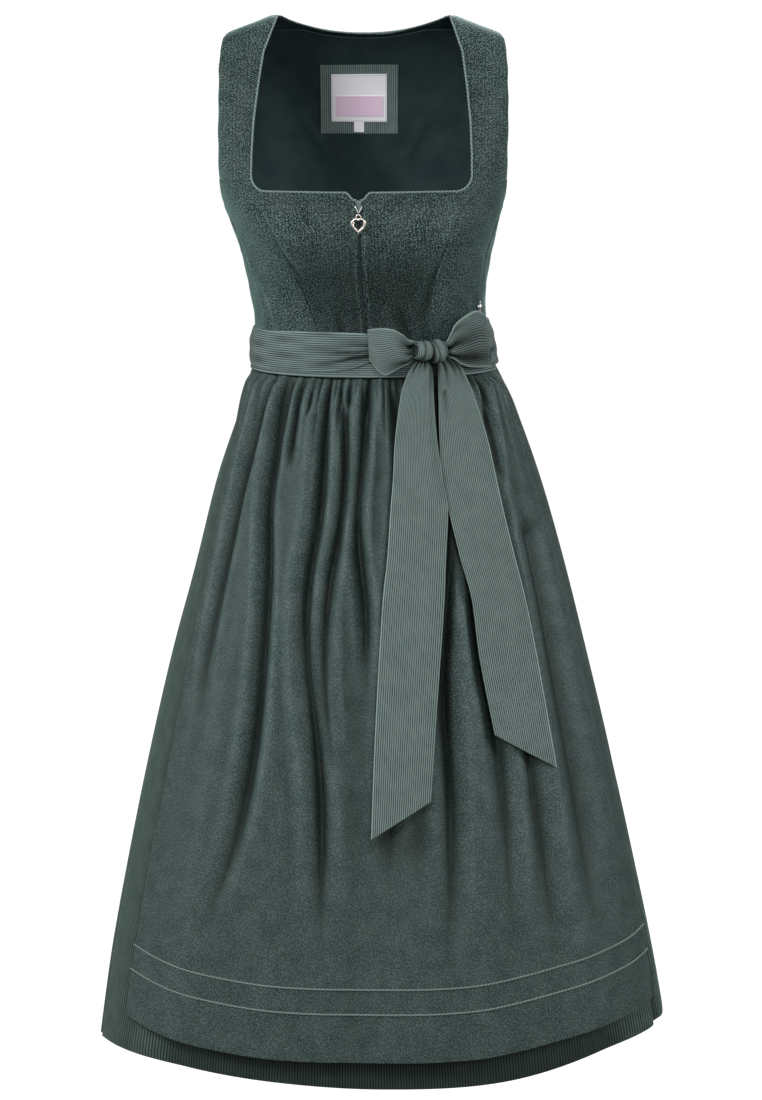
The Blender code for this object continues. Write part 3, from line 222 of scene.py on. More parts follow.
LOOP_LEFT = (
    (0.0793, -0.3113, 0.0798, -0.3240, -0.0963),
    (0.0836, -0.3029, 0.0885, -0.3281, -0.0982),
    (0.0889, -0.2936, 0.0953, -0.3323, -0.0968),
    (0.0986, -0.2862, 0.1042, -0.3357, -0.0893),
    (0.1096, -0.2819, 0.1147, -0.3376, -0.0765),
    (0.1175, -0.2873, 0.1229, -0.3387, -0.0619),
    (0.1189, -0.2905, 0.1249, -0.3386, -0.0541),
    (0.1171, -0.2917, 0.1232, -0.3373, -0.0525),
    (0.1055, -0.2929, 0.1076, -0.3349, -0.0689),
    (0.0936, -0.3024, 0.0937, -0.3307, -0.0798),
    (0.0829, -0.3114, 0.0829, -0.3250, -0.0869),
)
KNOT_ANGLE, KNOT_OUT, KNOT_Z = 29.0, 0.0165, -0.3188

# Tails seen from the front: left edge, right edge and distance out of the apron's form.
TAIL_COLUMNS = ("left_x", "left_z", "right_x", "right_z", "out")
TAIL_RIGHT = (
    (0.0520, -0.3270, 0.0640, -0.3270, 0.0150),
    (0.0440, -0.3375, 0.0668, -0.3375, 0.0165),
    (0.0388, -0.3500, 0.0676, -0.3500, 0.0160),
    (0.0355, -0.3635, 0.0680, -0.3640, 0.0150),
    (0.0305, -0.4019, 0.0712, -0.4029, 0.0125),
    (0.0285, -0.4396, 0.0768, -0.4408, 0.0120),
    (0.0261, -0.4679, 0.0816, -0.4693, 0.0115),
    (0.0228, -0.5152, 0.0796, -0.5164, 0.0110),
    (0.0180, -0.5625, 0.0777, -0.5637, 0.0110),
    (0.0112, -0.6811, 0.0709, -0.6584, 0.0110),
    (0.0074, -0.7811, 0.0651, -0.7456, 0.0110),
)
TAIL_LEFT = (
    (0.0690, -0.3250, 0.0810, -0.3200, 0.0120),
    (0.0718, -0.3380, 0.0935, -0.3330, 0.0140),
    (0.0724, -0.3519, 0.1010, -0.3480, 0.0120),
    (0.0728, -0.3658, 0.1083, -0.3660, 0.0100),
    (0.0735, -0.4034, 0.1210, -0.4068, 0.0082),
    (0.0758, -0.4412, 0.1297, -0.4451, 0.0075),
    (0.0845, -0.4793, 0.1385, -0.4837, 0.0080),
    (0.0942, -0.5177, 0.1483, -0.5225, 0.0080),
    (0.1049, -0.5562, 0.1582, -0.5616, 0.0080),
    (0.1127, -0.6137, 0.1701, -0.6201, 0.0080),
    (0.1273, -0.6861, 0.1889, -0.7244, 0.0080),
)

PATCH_EDGES = (-0.0441, 0.0345, -0.0475, -0.1190)      # left, right, top, bottom
LABEL_EDGES = (-0.0331, 0.0230, -0.0568, -0.1062)
PANEL_EDGES = (-0.0282, 0.0190, -0.0793, -0.1000)
TAB_EDGES = (-0.0102, -0.0001, -0.1066, -0.1172)

PIVOT = frame["joints"][0]["pos_m"]
BUTTON_ANGLE, BUTTON_Z = 68.0, -0.2815


# ---- the form ---------------------------------------------------------------------------------

def unit(value):
    """Value held within 0 and 1."""
    return np.clip(value, 0, 1)


def eased(value):
    """Share s from 0 to 1 that starts and ends softly: s^2 (3 - 2 s)."""
    share = unit(value)
    return share * share * (3 - 2 * share)


def bell(distance, width, power=2):
    """Hump of height 1 round no distance: e to the power -|distance / width|^power."""
    return np.exp(-np.abs(distance / width)**power)


def turns(count):
    """Angles spread evenly over one full turn."""
    return np.linspace(0, 2 * math.pi, count + 1)[:-1]


def smooth(at, knots, values):
    """Curve through (knots, values): between two knots a cubic that shares its slope with the next."""
    knots = np.asarray(knots, float)
    values = np.asarray(values, float)
    slopes = np.gradient(values, knots)
    at = np.clip(np.asarray(at, float), knots[0], knots[-1])
    i = np.clip(np.searchsorted(knots, at) - 1, 0, len(knots) - 2)
    h = knots[i + 1] - knots[i]
    t = (at - knots[i]) / h
    return ((2 * t**3 - 3 * t**2 + 1) * values[i] + (t**3 - 2 * t**2 + t) * h * slopes[i]
            + (3 * t**2 - 2 * t**3) * values[i + 1] + (t**3 - t**2) * h * slopes[i + 1])


def column_of(rows, at, column=1):
    """Column of a table whose first column rises, read with the smooth curve."""
    return smooth(at, [row[0] for row in rows], [row[column] for row in rows])


def depth_key(z):
    """Square root of the depth below the shoulders."""
    return np.sqrt(np.maximum(-np.asarray(z, float), 1e-9))


FORM_KEYS = [float(depth_key(row[0])) for row in FORM]


def form_at(z, column):
    """Column of the form's table at a level, smooth over the square root of the depth."""
    index = FORM_COLUMNS.index(column)
    return smooth(depth_key(z), FORM_KEYS, [row[index] for row in FORM])


def edge_at(z, rows):
    """Half width of an edge listed as (level, half width) rows, straight between its rows."""
    ordered = sorted(rows, key=lambda row: -row[0])
    return np.interp(-np.asarray(z, float), [-row[0] for row in ordered], [row[1] for row in ordered])


def by_angle(angle, z):
    """Point of the superellipse section at an angle: radius = (|sin/a|^p + |cos/b|^p)^(-1/p)."""
    phi = np.radians(angle)
    p = form_at(z, "square")
    depth = np.where(np.cos(phi) >= 0, form_at(z, "front"), form_at(z, "back"))
    r = ((np.abs(np.sin(phi)) / form_at(z, "half_width"))**p + (np.abs(np.cos(phi)) / depth)**p)**(-1 / p)
    return r * np.sin(phi), -r * np.cos(phi)


def by_width(x, z, front=True):
    """Point of the section at an offset x: depth = b (1 - |x/a|^p)^(1/p)."""
    p = form_at(z, "square")
    depth = form_at(z, "front" if front else "back")
    y = depth * np.maximum(1 - (np.abs(x) / form_at(z, "half_width"))**p, 0)**(1 / p)
    return x, -y if front else y


def of_length_one(ways):
    """The same directions, each with a length of one."""
    return ways / np.linalg.norm(ways, axis=-1, keepdims=True)


def outward(x, y, z):
    """Unit normal of the form: gradient of |x/a|^p + |y/b|^p over x, y and the level."""
    def section(at):
        depth = np.where(y < 0, form_at(at, "front"), form_at(at, "back"))
        return form_at(at, "half_width"), np.maximum(depth, LEAST_DEPTH), form_at(at, "square")

    def level(at):
        a, b, p = section(at)
        return (np.abs(x) / a)**p + (np.abs(y) / b)**p

    z = np.minimum(z, -2 * LEVEL_STEP)
    a, b, p = section(z)
    nx = np.sign(x) * p * np.abs(x / a)**(p - 1) / a
    ny = np.sign(y) * p * np.abs(y / b)**(p - 1) / b
    nz = (level(z + LEVEL_STEP) - level(z - LEVEL_STEP)) / (2 * LEVEL_STEP)
    return of_length_one(np.stack([nx, ny, nz], axis=-1))


def lay(x, y, z, out=0.0):
    """Form points (offset x, y, level z) moved out along the normal, with the bust's two soft swells:
    a product of two humps, one over the angle round the body and one over the level."""
    x, y, z, out = np.broadcast_arrays(*(np.asarray(v, float) for v in (x, y, z, out)))
    aside = (np.degrees(np.arctan2(np.abs(x), -y)) - BUST_ANGLE) / BUST_SPREAD
    above = (z - BUST_Z) / BUST_HEIGHT
    reach = (out + BUST_FULLNESS * np.exp(-aside**2 - above**2))[..., None] * outward(x, y, z)
    front_share = unit(-y / np.maximum(np.hypot(x, y), 1e-6))**2
    slope = SHOULDER_SLOPE * np.maximum(np.abs(x) - SHOULDER_NECK_X, 0)
    slope = slope * unit(1 - z / SHOULDER_FADE_Z)**2
    across = form_at(z, "centre") + form_at(z, "twist") * front_share + x
    return np.stack([across, y, z - slope], axis=-1) + reach


def lay_angle(angle, z, out=0.0):
    """Points of the form at angles round the body and levels, moved out along the normal."""
    angle, z, out = np.broadcast_arrays(*(np.asarray(v, float) for v in (angle, z, out)))
    return lay(*by_angle(angle, z), z, out)


def seen_at(x, z, out):
    """Points of the form moved out that a viewer in front sees at x, z: the place on the form is
    corrected by what is still missing, a few times over."""
    base_x, base_z = np.array(x, float), np.array(z, float)
    for _ in range(SEEN_ROUNDS):
        offset = base_x - form_at(base_z, "centre") - form_at(base_z, "twist")
        point = lay(*by_width(offset, base_z), base_z, out)
        base_x = base_x + (x - point[..., 0])
        base_z = base_z + (z - point[..., 2])
    return point


# ---- meshes -----------------------------------------------------------------------------------

def quads(rows, columns, close_rows=False, close_columns=False, first=0):
    """Corner numbers of the squares of a grid, as an array with four columns."""
    number = first + np.arange(rows * columns).reshape(rows, columns)
    if close_rows:
        number = np.concatenate([number, number[:1]])
    if close_columns:
        number = np.concatenate([number, number[:, :1]], axis=1)
    return np.stack([number[:-1, :-1], number[:-1, 1:], number[1:, 1:], number[1:, :-1]], axis=-1)


def make(name, points, faces, looks, uv=None, edge=None, kinds=None, sharp=50.0, body="dress", fold=None):
    """Mesh object from arrays: uv in metres of cloth per vertex, edge = distance to the cloth's edge, kinds =
    number of each face's look, fold = painted shade (down to -1) and painted highlight (up to 1) at a vertex,
    the shade in folds and creases and under or beside other parts, the highlight on ridges. Edges steeper
    than `sharp` degrees stay sharp."""
    mesh = bpy.data.meshes.new(name)
    mesh.vertices.add(len(points))
    mesh.vertices.foreach_set("co", np.asarray(points, np.float32).ravel())
    faces = np.asarray(faces, np.int32)
    mesh.loops.add(faces.size)
    mesh.loops.foreach_set("vertex_index", faces.ravel())
    mesh.polygons.add(len(faces))
    mesh.polygons.foreach_set("loop_start", np.arange(len(faces), dtype=np.int32) * faces.shape[1])
    mesh.polygons.foreach_set("loop_total", np.full(len(faces), faces.shape[1], np.int32))
    if kinds is not None:
        mesh.polygons.foreach_set("material_index", np.asarray(kinds, np.int32))
    mesh.update(calc_edges=True)
    if uv is not None:
        layer = mesh.uv_layers.new(name="cloth")
        layer.data.foreach_set("uv", np.asarray(uv, np.float32)[faces.ravel()].ravel())
    for kind, values in (("edge", edge), ("fold", fold)):
        if values is not None:
            held = mesh.attributes.new(kind, "FLOAT", "POINT")
            held.data.foreach_set("value", np.asarray(values, np.float32).ravel())
    mesh.validate()
    mesh.shade_smooth()
    mesh.set_sharp_from_angle(angle=math.radians(sharp))
    for look in looks:
        mesh.materials.append(look)
    made = bpy.data.objects.new(name, mesh)
    bpy.context.scene.collection.objects.link(made)
    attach(made, body)
    return made


def grid_normals(points):
    """Unit normals of a grid: cross product of its row and column directions."""
    normal = np.cross(np.gradient(points, axis=1), np.gradient(points, axis=0))
    return normal / np.maximum(np.linalg.norm(normal, axis=-1, keepdims=True), 1e-12)


def run_along(points, axis=0):
    """Length walked so far along each row of points or each column of a grid."""
    steps = np.linalg.norm(np.diff(points, axis=axis), axis=-1)
    start = np.zeros_like(np.take(steps, [0], axis=axis))
    return np.concatenate([start, np.cumsum(steps, axis=axis)], axis=axis)


def cloth_lengths(points):
    """Lengths of cloth from each grid's middle column across, and from its first row down."""
    across = run_along(points, 1)
    return across - across[:, across.shape[1] // 2][:, None], run_along(points)


def edge_distance(points):
    """Distance along the cloth from each grid point to the nearest of the grid's four edges."""
    across, down = cloth_lengths(points)
    sides = np.minimum(across - across[:, :1], across[:, -1:] - across)
    ends = np.minimum(down, down[-1:] - down)
    return np.minimum(sides, ends)


def shell(name, points, wall, looks, uv, inward, cells=None, edge=None, roll=0.0, fold=None):
    """Closed shell of cloth: the grid, the same grid a wall further in, and a rim round its edges.

    uv is the weave's place across and down, and None for down means the length of the cloth. inward
    is the way to the wall's other face: an array, or 1 or -1 times the way against the grid's normals.
    cells are the squares that are kept. roll pulls the outer face in near the cloth's edges, as a
    turned-in seam allowance does. The last look is the one of the inner face."""
    rows, columns, _ = points.shape
    if edge is None:
        edge = edge_distance(points)
    across, down = uv
    if down is None:
        down = run_along(points)
    uv = np.stack([np.broadcast_to(across, (rows, columns)), np.broadcast_to(down, (rows, columns))], axis=-1)
    flipped = np.isscalar(inward) and inward < 0
    if np.isscalar(inward):
        inward = -grid_normals(points) * inward
    if fold is not None:
        fold = np.tile(np.clip(np.broadcast_to(fold, (rows, columns)), -1, 1).ravel(), 2)
    points = points + inward * (roll * bell(edge, TURNED_EDGE))[..., None]
    inner = points + inward * wall
    if cells is None:
        cells = np.ones((rows - 1, columns - 1), bool)
    outer_faces = quads(rows, columns)[cells]
    count = rows * columns
    ends = np.concatenate([outer_faces[:, [k, (k + 1) % 4]] for k in range(4)]).astype(np.int64)
    code, back = ends[:, 0] * count + ends[:, 1], ends[:, 1] * count + ends[:, 0]
    rim = ends[~np.isin(code, back)]
    rim_faces = np.stack([rim[:, 1], rim[:, 0], rim[:, 0] + count, rim[:, 1] + count], axis=1)
    faces = np.concatenate([outer_faces, outer_faces[:, ::-1] + count, rim_faces])
    if flipped:
        faces = faces[:, ::-1]
    kinds = np.zeros(len(faces))
    kinds[len(outer_faces):2 * len(outer_faces)] = len(looks) - 1
    both = np.concatenate([points.reshape(-1, 3), inner.reshape(-1, 3)])
    used, numbers = np.unique(faces, return_inverse=True)
    uv = np.tile(uv.reshape(-1, 2), (2, 1))[used]
    edge = np.tile(edge.ravel(), 2)[used]
    if fold is not None:
        fold = fold[used]
    return make(name, both[used], numbers.reshape(faces.shape), looks, uv, edge, kinds, fold=fold)


def laid_shell(name, x, y, z, out, wall, looks, across, down, roll=0.0, fold=None, edge=None):
    """Shell of cloth laid on the form at offsets and levels, its wall towards the inside."""
    points, inward = lay(x, y, z, out), -outward(x, y, z)
    return shell(name, points, wall, looks, (across, down), inward, None, edge, roll, fold)


def fold_share(relief, reach, depth):
    """How far the relief lies below (-) or above (+) its own average along each row: the average is
    weighted with a hump of that many columns, and the difference is divided by a depth."""
    weight = bell(np.arange(-3 * reach, 3 * reach + 1), reach)
    padded = np.pad(relief, ((0, 0), (3 * reach, 3 * reach)), mode="edge")
    average = np.stack([np.convolve(row, weight / weight.sum(), mode="valid") for row in padded])
    return np.clip((relief - average) / depth, -1, 1)


def frames_along(path, hint, closed=False):
    """Tangent, side and lift of a path; the lift stays as near as it can to the hint."""
    if closed:
        tangent = np.roll(path, -1, axis=0) - np.roll(path, 1, axis=0)
    else:
        tangent = np.gradient(path, axis=0)
    tangent = of_length_one(tangent)
    side = of_length_one(np.cross(tangent, hint))
    return tangent, side, np.cross(side, tangent)


def even_path(path, step):
    """The path again with its points a step apart, and the length at each of them."""
    path = np.asarray(path, float)
    along = run_along(path)
    at = np.linspace(0, along[-1], max(3, int(along[-1] / step) + 1))
    return np.stack([smooth(at, along, path[:, k]) for k in range(3)], axis=1), at


def resampled(values, count):
    """Rows of values at a new count of places, straight between the old ones."""
    old, new = np.linspace(0, 1, len(values)), np.linspace(0, 1, count)
    return np.stack([np.interp(new, old, column) for column in values.T], axis=1)


def rings(path, reach, side, lift):
    """Rings of points round a path: path + reach (cos(turn) side + sin(turn) lift)."""
    turn = turns(reach.shape[1])[:, None]
    return path[:, None] + reach[..., None] * (np.cos(turn) * side[:, None] + np.sin(turn) * lift[:, None])


def twisted_cord(name, path, hint, radius, look, pitch=0.0042, step=CORD_STEP):
    """Two-ply cord along a path: radius = r (0.80 + 0.24 |cos(angle - turn)|), where the turn grows by
    half a circle with each pitch."""
    path, at = even_path(path, step)
    _, side, lift = frames_along(path, hint)
    angle = turns(CORD_SIDES)
    turn = math.pi * at / pitch
    reach = radius * (CORD_CORE + CORD_SWELL * np.abs(np.cos(angle[None, :] - turn[:, None])))
    reach[[0, -1]] *= 0.05
    points = rings(path, reach, side, lift)
    faces = quads(len(path), CORD_SIDES, close_columns=True).reshape(-1, 4)
    uv = np.stack([np.broadcast_to((angle[None, :] - turn[:, None]) / math.pi, reach.shape),
                   np.broadcast_to(at[:, None], reach.shape)], axis=-1)
    return make(name, points.reshape(-1, 3), faces, [look], uv.reshape(-1, 2), sharp=80)


def tube(path, radius, sides=10, hint=(0, -1, 0), closed=False):
    """Points and faces of a round tube along a path."""
    path = np.asarray(path, float)
    _, side, lift = frames_along(path, np.array(hint, float), closed)
    points = rings(path, np.full((len(path), sides), radius), side, lift)
    return points.reshape(-1, 3), quads(len(path), sides, closed, True).reshape(-1, 4)


def ring_at(centre, radius, across, up, count):
    """Circle round a centre: centre + radius (cos(turn) across + sin(turn) up)."""
    turn = turns(count)[:, None]
    return np.array(centre) + radius * (np.cos(turn) * np.array(across) + np.sin(turn) * np.array(up))


def joined(parts):
    """One set of points and faces from several."""
    points, faces, first = [], [], 0
    for part_points, part_faces in parts:
        points.append(part_points)
        faces.append(part_faces + first)
        first += len(part_points)
    return np.concatenate(points), np.concatenate(faces)


def repeated(unit_points, unit_faces, places, axes):
    """Copies of a small unit: axes holds its three directions at each place."""
    points = places[:, None] + np.einsum("vk,nkc->nvc", unit_points, axes)
    faces = unit_faces[None] + (np.arange(len(places)) * len(unit_points))[:, None, None]
    return points.reshape(-1, 3), faces.reshape(-1, unit_faces.shape[1])


def bead(length, width, height, rows=5, sides=6):
    """Small closed capsule along its first axis: half width shrinks as a circle towards both ends."""
    share = np.linspace(-1, 1, rows)
    size = np.sqrt(np.maximum(1 - share**2, 0.004))
    angle = turns(sides)
    points = np.stack([np.broadcast_to(share[:, None] * length / 2, (rows, sides)),
                       size[:, None] * np.cos(angle) * width / 2,
                       size[:, None] * np.sin(angle) * height / 2], axis=-1)
    return points.reshape(-1, 3), quads(rows, sides, close_columns=True).reshape(-1, 4)


def stitches(name, path, normal, length=0.0024, gap=0.0010, width=0.00045):
    """Row of stitches, each a small bead, along a path that lies on the cloth."""
    path, _ = even_path(path, length + gap)
    tangent, side, lift = frames_along(path, resampled(normal, len(path)))
    points, faces = repeated(*bead(length, width, width * 0.8), path, np.stack([tangent, side, lift], axis=1))
    made = make(name, points, faces, [THREAD], sharp=80)


def fold_line(level, line, enter_run, leave_share):
    """Middle of a fold whose line is (level, place) rows, and its strength: it grows over a run above
    the first row and eases out over the last share of its length."""
    levels = -np.array([row[0] for row in line])
    places = [row[1] for row in line]
    middle = smooth(-level, levels, places) if len(line) > 2 else np.interp(-level, levels, places)
    enter = unit((-level - levels[0]) / enter_run + 1)
    return middle, enter * eased((levels[-1] + level) / (leave_share * (levels[-1] - levels[0])))


def trough(aside, power, swell, swell_at, swell_width):
    """Hollow with a low swell on both sides, over the distance aside in half widths."""
    return bell(aside, 1, power) - swell * bell(np.abs(aside) - swell_at, swell_width)


def grooves(rows, across, level):
    """Sum of soft troughs, each along a line of (level, across) rows. A row is width, depth, line."""
    total = np.zeros(np.broadcast(across, level).shape)
    for width, depth, line in rows:
        enter_run = min(0.012, 0.25 * (line[0][0] - line[-1][0]))
        middle, strength = fold_line(level, line, enter_run, 0.45)
        total -= depth * strength * trough((across - middle) / width, 1.6, 0.35, 2.1, 1.0)
    return total


# ---- materials --------------------------------------------------------------------------------

class Nodes:
    """Short way to add and join shader nodes in one tree."""

    def __init__(self, tree):
        self.tree = tree

    def add(self, kind, settings=None, **inputs):
        """Node with its settings and its inputs; i0, i1 and so on are inputs by number."""
        node = self.tree.nodes.new(kind)
        for key, value in (settings or {}).items():
            setattr(node, key, value)
        for key, value in inputs.items():
            self.feed(node, key, value)
        return node

    def feed(self, node, key, value):
        name = key.replace("_", " ")
        socket = node.inputs[int(key[1:])] if key[0] == "i" and key[1:].isdigit() else node.inputs[name]
        if isinstance(value, bpy.types.NodeSocket):
            self.tree.links.new(value, socket)
        else:
            socket.default_value = value

    def math(self, operation, a, b=0.0):
        return self.add("ShaderNodeMath", {"operation": operation}, i0=a, i1=b).outputs[0]

    def plus(self, a, b):
        return self.math("ADD", a, b)

    def times(self, a, b):
        return self.math("MULTIPLY", a, b)

    def vector_math(self, operation, **inputs):
        return self.add("ShaderNodeVectorMath", {"operation": operation}, **inputs).outputs[0]

    def mix(self, share, a, b, blend="MIX"):
        """Colour a turning to colour b with the share."""
        a, b = ((*value, 1.0) if isinstance(value, tuple) else value for value in (a, b))
        settings = {"data_type": "RGBA", "blend_type": blend}
        return self.add("ShaderNodeMix", settings, i0=share, i6=a, i7=b).outputs[2]

    def ramp(self, value, low, high):
        """Value eased from 0 at low to 1 at high."""
        return self.add("ShaderNodeMapRange", {"interpolation_type": "SMOOTHSTEP"}, Value=value,
                        From_Min=low, From_Max=high).outputs[0]

    def noise(self, place, scale, detail):
        return self.add("ShaderNodeTexNoise", Vector=place, Scale=scale, Detail=detail)

    def split(self, vector):
        return self.add("ShaderNodeSeparateXYZ", Vector=vector).outputs

    def place(self):
        """Place in the weave, in metres of cloth."""
        return self.add("ShaderNodeUVMap", {"uv_map": "cloth"}).outputs[0]

    def turned(self, place):
        return self.add("ShaderNodeMapping", Vector=place, Rotation=(0, 0, math.pi / 2)).outputs[0]

    def kept(self, attribute):
        """Value that each vertex holds under a name."""
        return self.add("ShaderNodeAttribute", {"attribute_name": attribute}).outputs[2]

    def use(self, tree, **inputs):
        """A node group, placed with its own values."""
        node = self.add("ShaderNodeGroup", {"node_tree": tree})
        for key, value in inputs.items():
            self.feed(node, key, value)
        return node.outputs


def group(name, inputs, outputs, build):
    """Shader node group with named sockets; build gets the node helper, its inputs and its outputs."""
    tree = bpy.data.node_groups.new(name, "ShaderNodeTree")
    for socket, kind, value in inputs:
        made = tree.interface.new_socket(socket, in_out="INPUT", socket_type=kind)
        if value is not None:
            made.default_value = value
    for socket, kind in outputs:
        tree.interface.new_socket(socket, in_out="OUTPUT", socket_type=kind)
    start, end = tree.nodes.new("NodeGroupInput"), tree.nodes.new("NodeGroupOutput")
    made = build(Nodes(tree), start.outputs)
    for socket, value in made.items():
        tree.links.new(value, end.inputs[socket])
    return tree


FLOAT, VECTOR, COLOUR = "NodeSocketFloat", "NodeSocketVector", "NodeSocketColor"
WHITE = (1.0, 1.0, 1.0, 1.0)
CLOTH_SHEEN = (0.6, 1.0, 0.92, 1.0)
CLOTH_GLOSS = (0.78, 1.0, 0.96, 1.0)
WORN_LIGHT = (0.55, 0.62, 0.60)
SELVAGE = (0.0016, 0.0007)      # where the light edge of a ribbon starts and where it is full
SELVAGE_GAIN = 1.9


def build_ribs(n, given):
    """Rounded cords side by side: height = |sin(pi u / pitch)|, wandering a little with noise, and
    crossed by fine ticks of yarn."""
    across, down, _ = n.split(given["Place"])
    wander = n.noise(given["Place"], 90.0, 2.0).outputs[0]
    along = n.plus(across, n.times(n.math("SUBTRACT", wander, 0.5), given["Wander"]))
    wave = n.math("ABSOLUTE", n.math("SINE", n.math("DIVIDE", n.times(along, math.pi), given["Pitch"])))
    ticks = n.math("SINE", n.math("DIVIDE", n.times(down, 2 * math.pi), given["Tick"]))
    yarn = n.plus(n.times(ticks, 0.5), 0.5)
    height = n.plus(n.times(wave, 0.9), n.times(yarn, 0.1))
    return {"Height": height, "Crest": n.ramp(wave, 0.25, 0.85)}


def build_pebble(n, given):
    """Raised pebbles: light in the middle of each cell, dark between cells, each cell a little
    lighter or darker than the next. Fill is the share of a cell that its pebble takes."""
    scaled = n.vector_math("DIVIDE", i0=given["Place"], i1=given["Cell"])
    warp = n.noise(scaled, 0.6, 1.0).outputs[1]
    pushed = n.vector_math("MULTIPLY_ADD", i0=warp, i1=(0.45, 0.45, 0.45), i2=scaled)
    cells = n.add("ShaderNodeTexVoronoi", {"feature": "F1", "voronoi_dimensions": "2D"}, Vector=pushed,
                  Scale=1.0, Randomness=1.0).outputs
    tone = n.split(cells["Color"])[0]
    reach = n.plus(given["Fill"], n.times(tone, 0.10))
    raised = n.ramp(n.math("SUBTRACT", reach, cells["Distance"]), 0.0, 0.24)
    shade = n.plus(n.times(n.times(tone, tone), given["Sparkle"]), 0.45)
    return {"Height": raised, "Raised": n.times(raised, shade)}


def build_shade(n, given):
    """Uneven dye and light wear: slow noise mixes the colour a little darker and lighter."""
    share = n.ramp(n.noise(given["Place"], given["Scale"], 3.0).outputs[0], 0.3, 0.7)
    dark = n.mix(given["Strength"], given["Colour"], (0.0, 0.0, 0.0))
    light = n.mix(given["Strength"], given["Colour"], WORN_LIGHT, "SCREEN")
    return {"Colour": n.mix(share, dark, light)}


def build_painted_fold_light(n, given):
    """Painted shade and painted highlight: the colour is darker where the fold value is below 0, in folds and
    creases and under or beside other parts, and a little lighter where it is above 0, on ridges: the colour
    times 1 + dark x fold below 0 and 1 + light x fold above 0."""
    low = n.times(n.math("MINIMUM", given["Fold"], 0.0), given["Dark"])
    high = n.times(n.math("MAXIMUM", given["Fold"], 0.0), given["Light"])
    return {"Colour": n.vector_math("SCALE", i0=given["Colour"], i3=n.plus(n.plus(low, high), 1.0))}


# Painted shade and painted highlight from each vertex's fold value.
PAINTED_FOLD_LIGHT = group("cloth_fold",
             (("Colour", COLOUR, (0.1, 0.1, 0.1, 1)), ("Fold", FLOAT, 0.0), ("Dark", FLOAT, 0.6),
              ("Light", FLOAT, 0.3)),
             (("Colour", COLOUR),), build_painted_fold_light)
RIBS = group("cloth_ribs",
             (("Place", VECTOR, None), ("Pitch", FLOAT, 0.002), ("Wander", FLOAT, 0.0003),
              ("Tick", FLOAT, 0.0006)),
             (("Height", FLOAT), ("Crest", FLOAT)), build_ribs)
PEBBLE = group("cloth_pebble",
               (("Place", VECTOR, None), ("Cell", VECTOR, (0.002, 0.002, 0.002)), ("Fill", FLOAT, 0.5),
                ("Sparkle", FLOAT, 1.0)),
               (("Height", FLOAT), ("Raised", FLOAT)), build_pebble)
SHADE = group("cloth_shade",
              (("Place", VECTOR, None), ("Colour", COLOUR, (0.1, 0.1, 0.1, 1)), ("Scale", FLOAT, 12.0),
               ("Strength", FLOAT, 0.1)),
              (("Colour", COLOUR),), build_shade)


def new_material(name, roughness=0.6, metallic=0.0, specular=0.2, sheen=0.0, sheen_roughness=0.45):
    """Material, its node helper and its shader; cloth shines a little green, metal plain."""
    made = bpy.data.materials.new(name)
    made.use_nodes = True
    shader = made.node_tree.nodes["Principled BSDF"]
    for socket, value in (("Roughness", roughness), ("Metallic", metallic), ("Specular IOR Level", specular),
                          ("Sheen Weight", sheen), ("Sheen Roughness", sheen_roughness),
                          ("Sheen Tint", CLOTH_SHEEN), ("Specular Tint", WHITE if metallic else CLOTH_GLOSS)):
        shader.inputs[socket].default_value = value
    return made, Nodes(made.node_tree), shader


def surface(n, shader, colour, height=None, depth=0.0003, roughness=None):
    """Joins colour, roughness and a bump of some depth to the shader."""
    n.feed(shader, "Base_Color", colour)
    if roughness is not None:
        n.feed(shader, "Roughness", roughness)
    if height is not None:
        bump = n.add("ShaderNodeBump", Height=height, Distance=depth, Strength=1.0)
        n.feed(shader, "Normal", bump.outputs[0])


def rib_cloth(name, crest, groove, pitch, folds=(0.6, 0.3), turned=False, edge_light=0.0, depth=0.0004,
              **shine):
    """Ribbed cloth: light crests, dark grooves, ribs along the second cloth direction, or the first if
    turned. folds are how dark the painted shade in the folds and how light the painted highlight on the
    ridges are."""
    made, n, shader = new_material(name, **shine)
    place = n.turned(n.place()) if turned else n.place()
    ribs = n.use(RIBS, Place=place, Pitch=pitch, Wander=pitch * 0.12)
    colour = n.mix(ribs["Crest"], groove, crest)
    if edge_light:
        near = n.ramp(n.kept("edge"), *SELVAGE)
        colour = n.mix(n.times(near, edge_light), colour, tuple(min(1, SELVAGE_GAIN * c) for c in crest))
    shaded = n.use(SHADE, Place=place, Colour=colour, Scale=60.0, Strength=0.03)[0]
    # painted shade in folds and creases and painted highlight on ridges, from the fold value
    creased = n.use(PAINTED_FOLD_LIGHT, Colour=shaded, Fold=n.kept("fold"), Dark=folds[0], Light=folds[1])[0]
    surface(n, shader, creased, ribs["Height"], depth)
    return made


def jacquard_cloth(name, ground, light, cell, fill, depth, folds, row_share=0.0, sparkle=1.0, **shine):
    """Jacquard: dark ground and raised light pebbles, in upright rows where row_share is over 0."""
    made, n, shader = new_material(name, **shine)
    place = n.place()
    weave = n.use(PEBBLE, Place=place, Cell=cell, Fill=fill, Sparkle=sparkle)
    share = weave["Raised"]
    if row_share:
        rows = n.use(RIBS, Place=place, Pitch=cell[0] * 2.9, Wander=cell[0] * 0.5)
        share = n.times(share, n.plus(n.times(rows["Crest"], row_share), 1.0 - row_share))
    shaded = n.use(SHADE, Place=place, Colour=n.mix(share, ground, light), Scale=45.0, Strength=0.03)[0]
    # painted shade in folds and creases and painted highlight on ridges, from the fold value
    creased = n.use(PAINTED_FOLD_LIGHT, Colour=shaded, Fold=n.kept("fold"), Dark=folds[0], Light=folds[1])[0]
    surface(n, shader, creased, weave["Height"], depth)
    return made


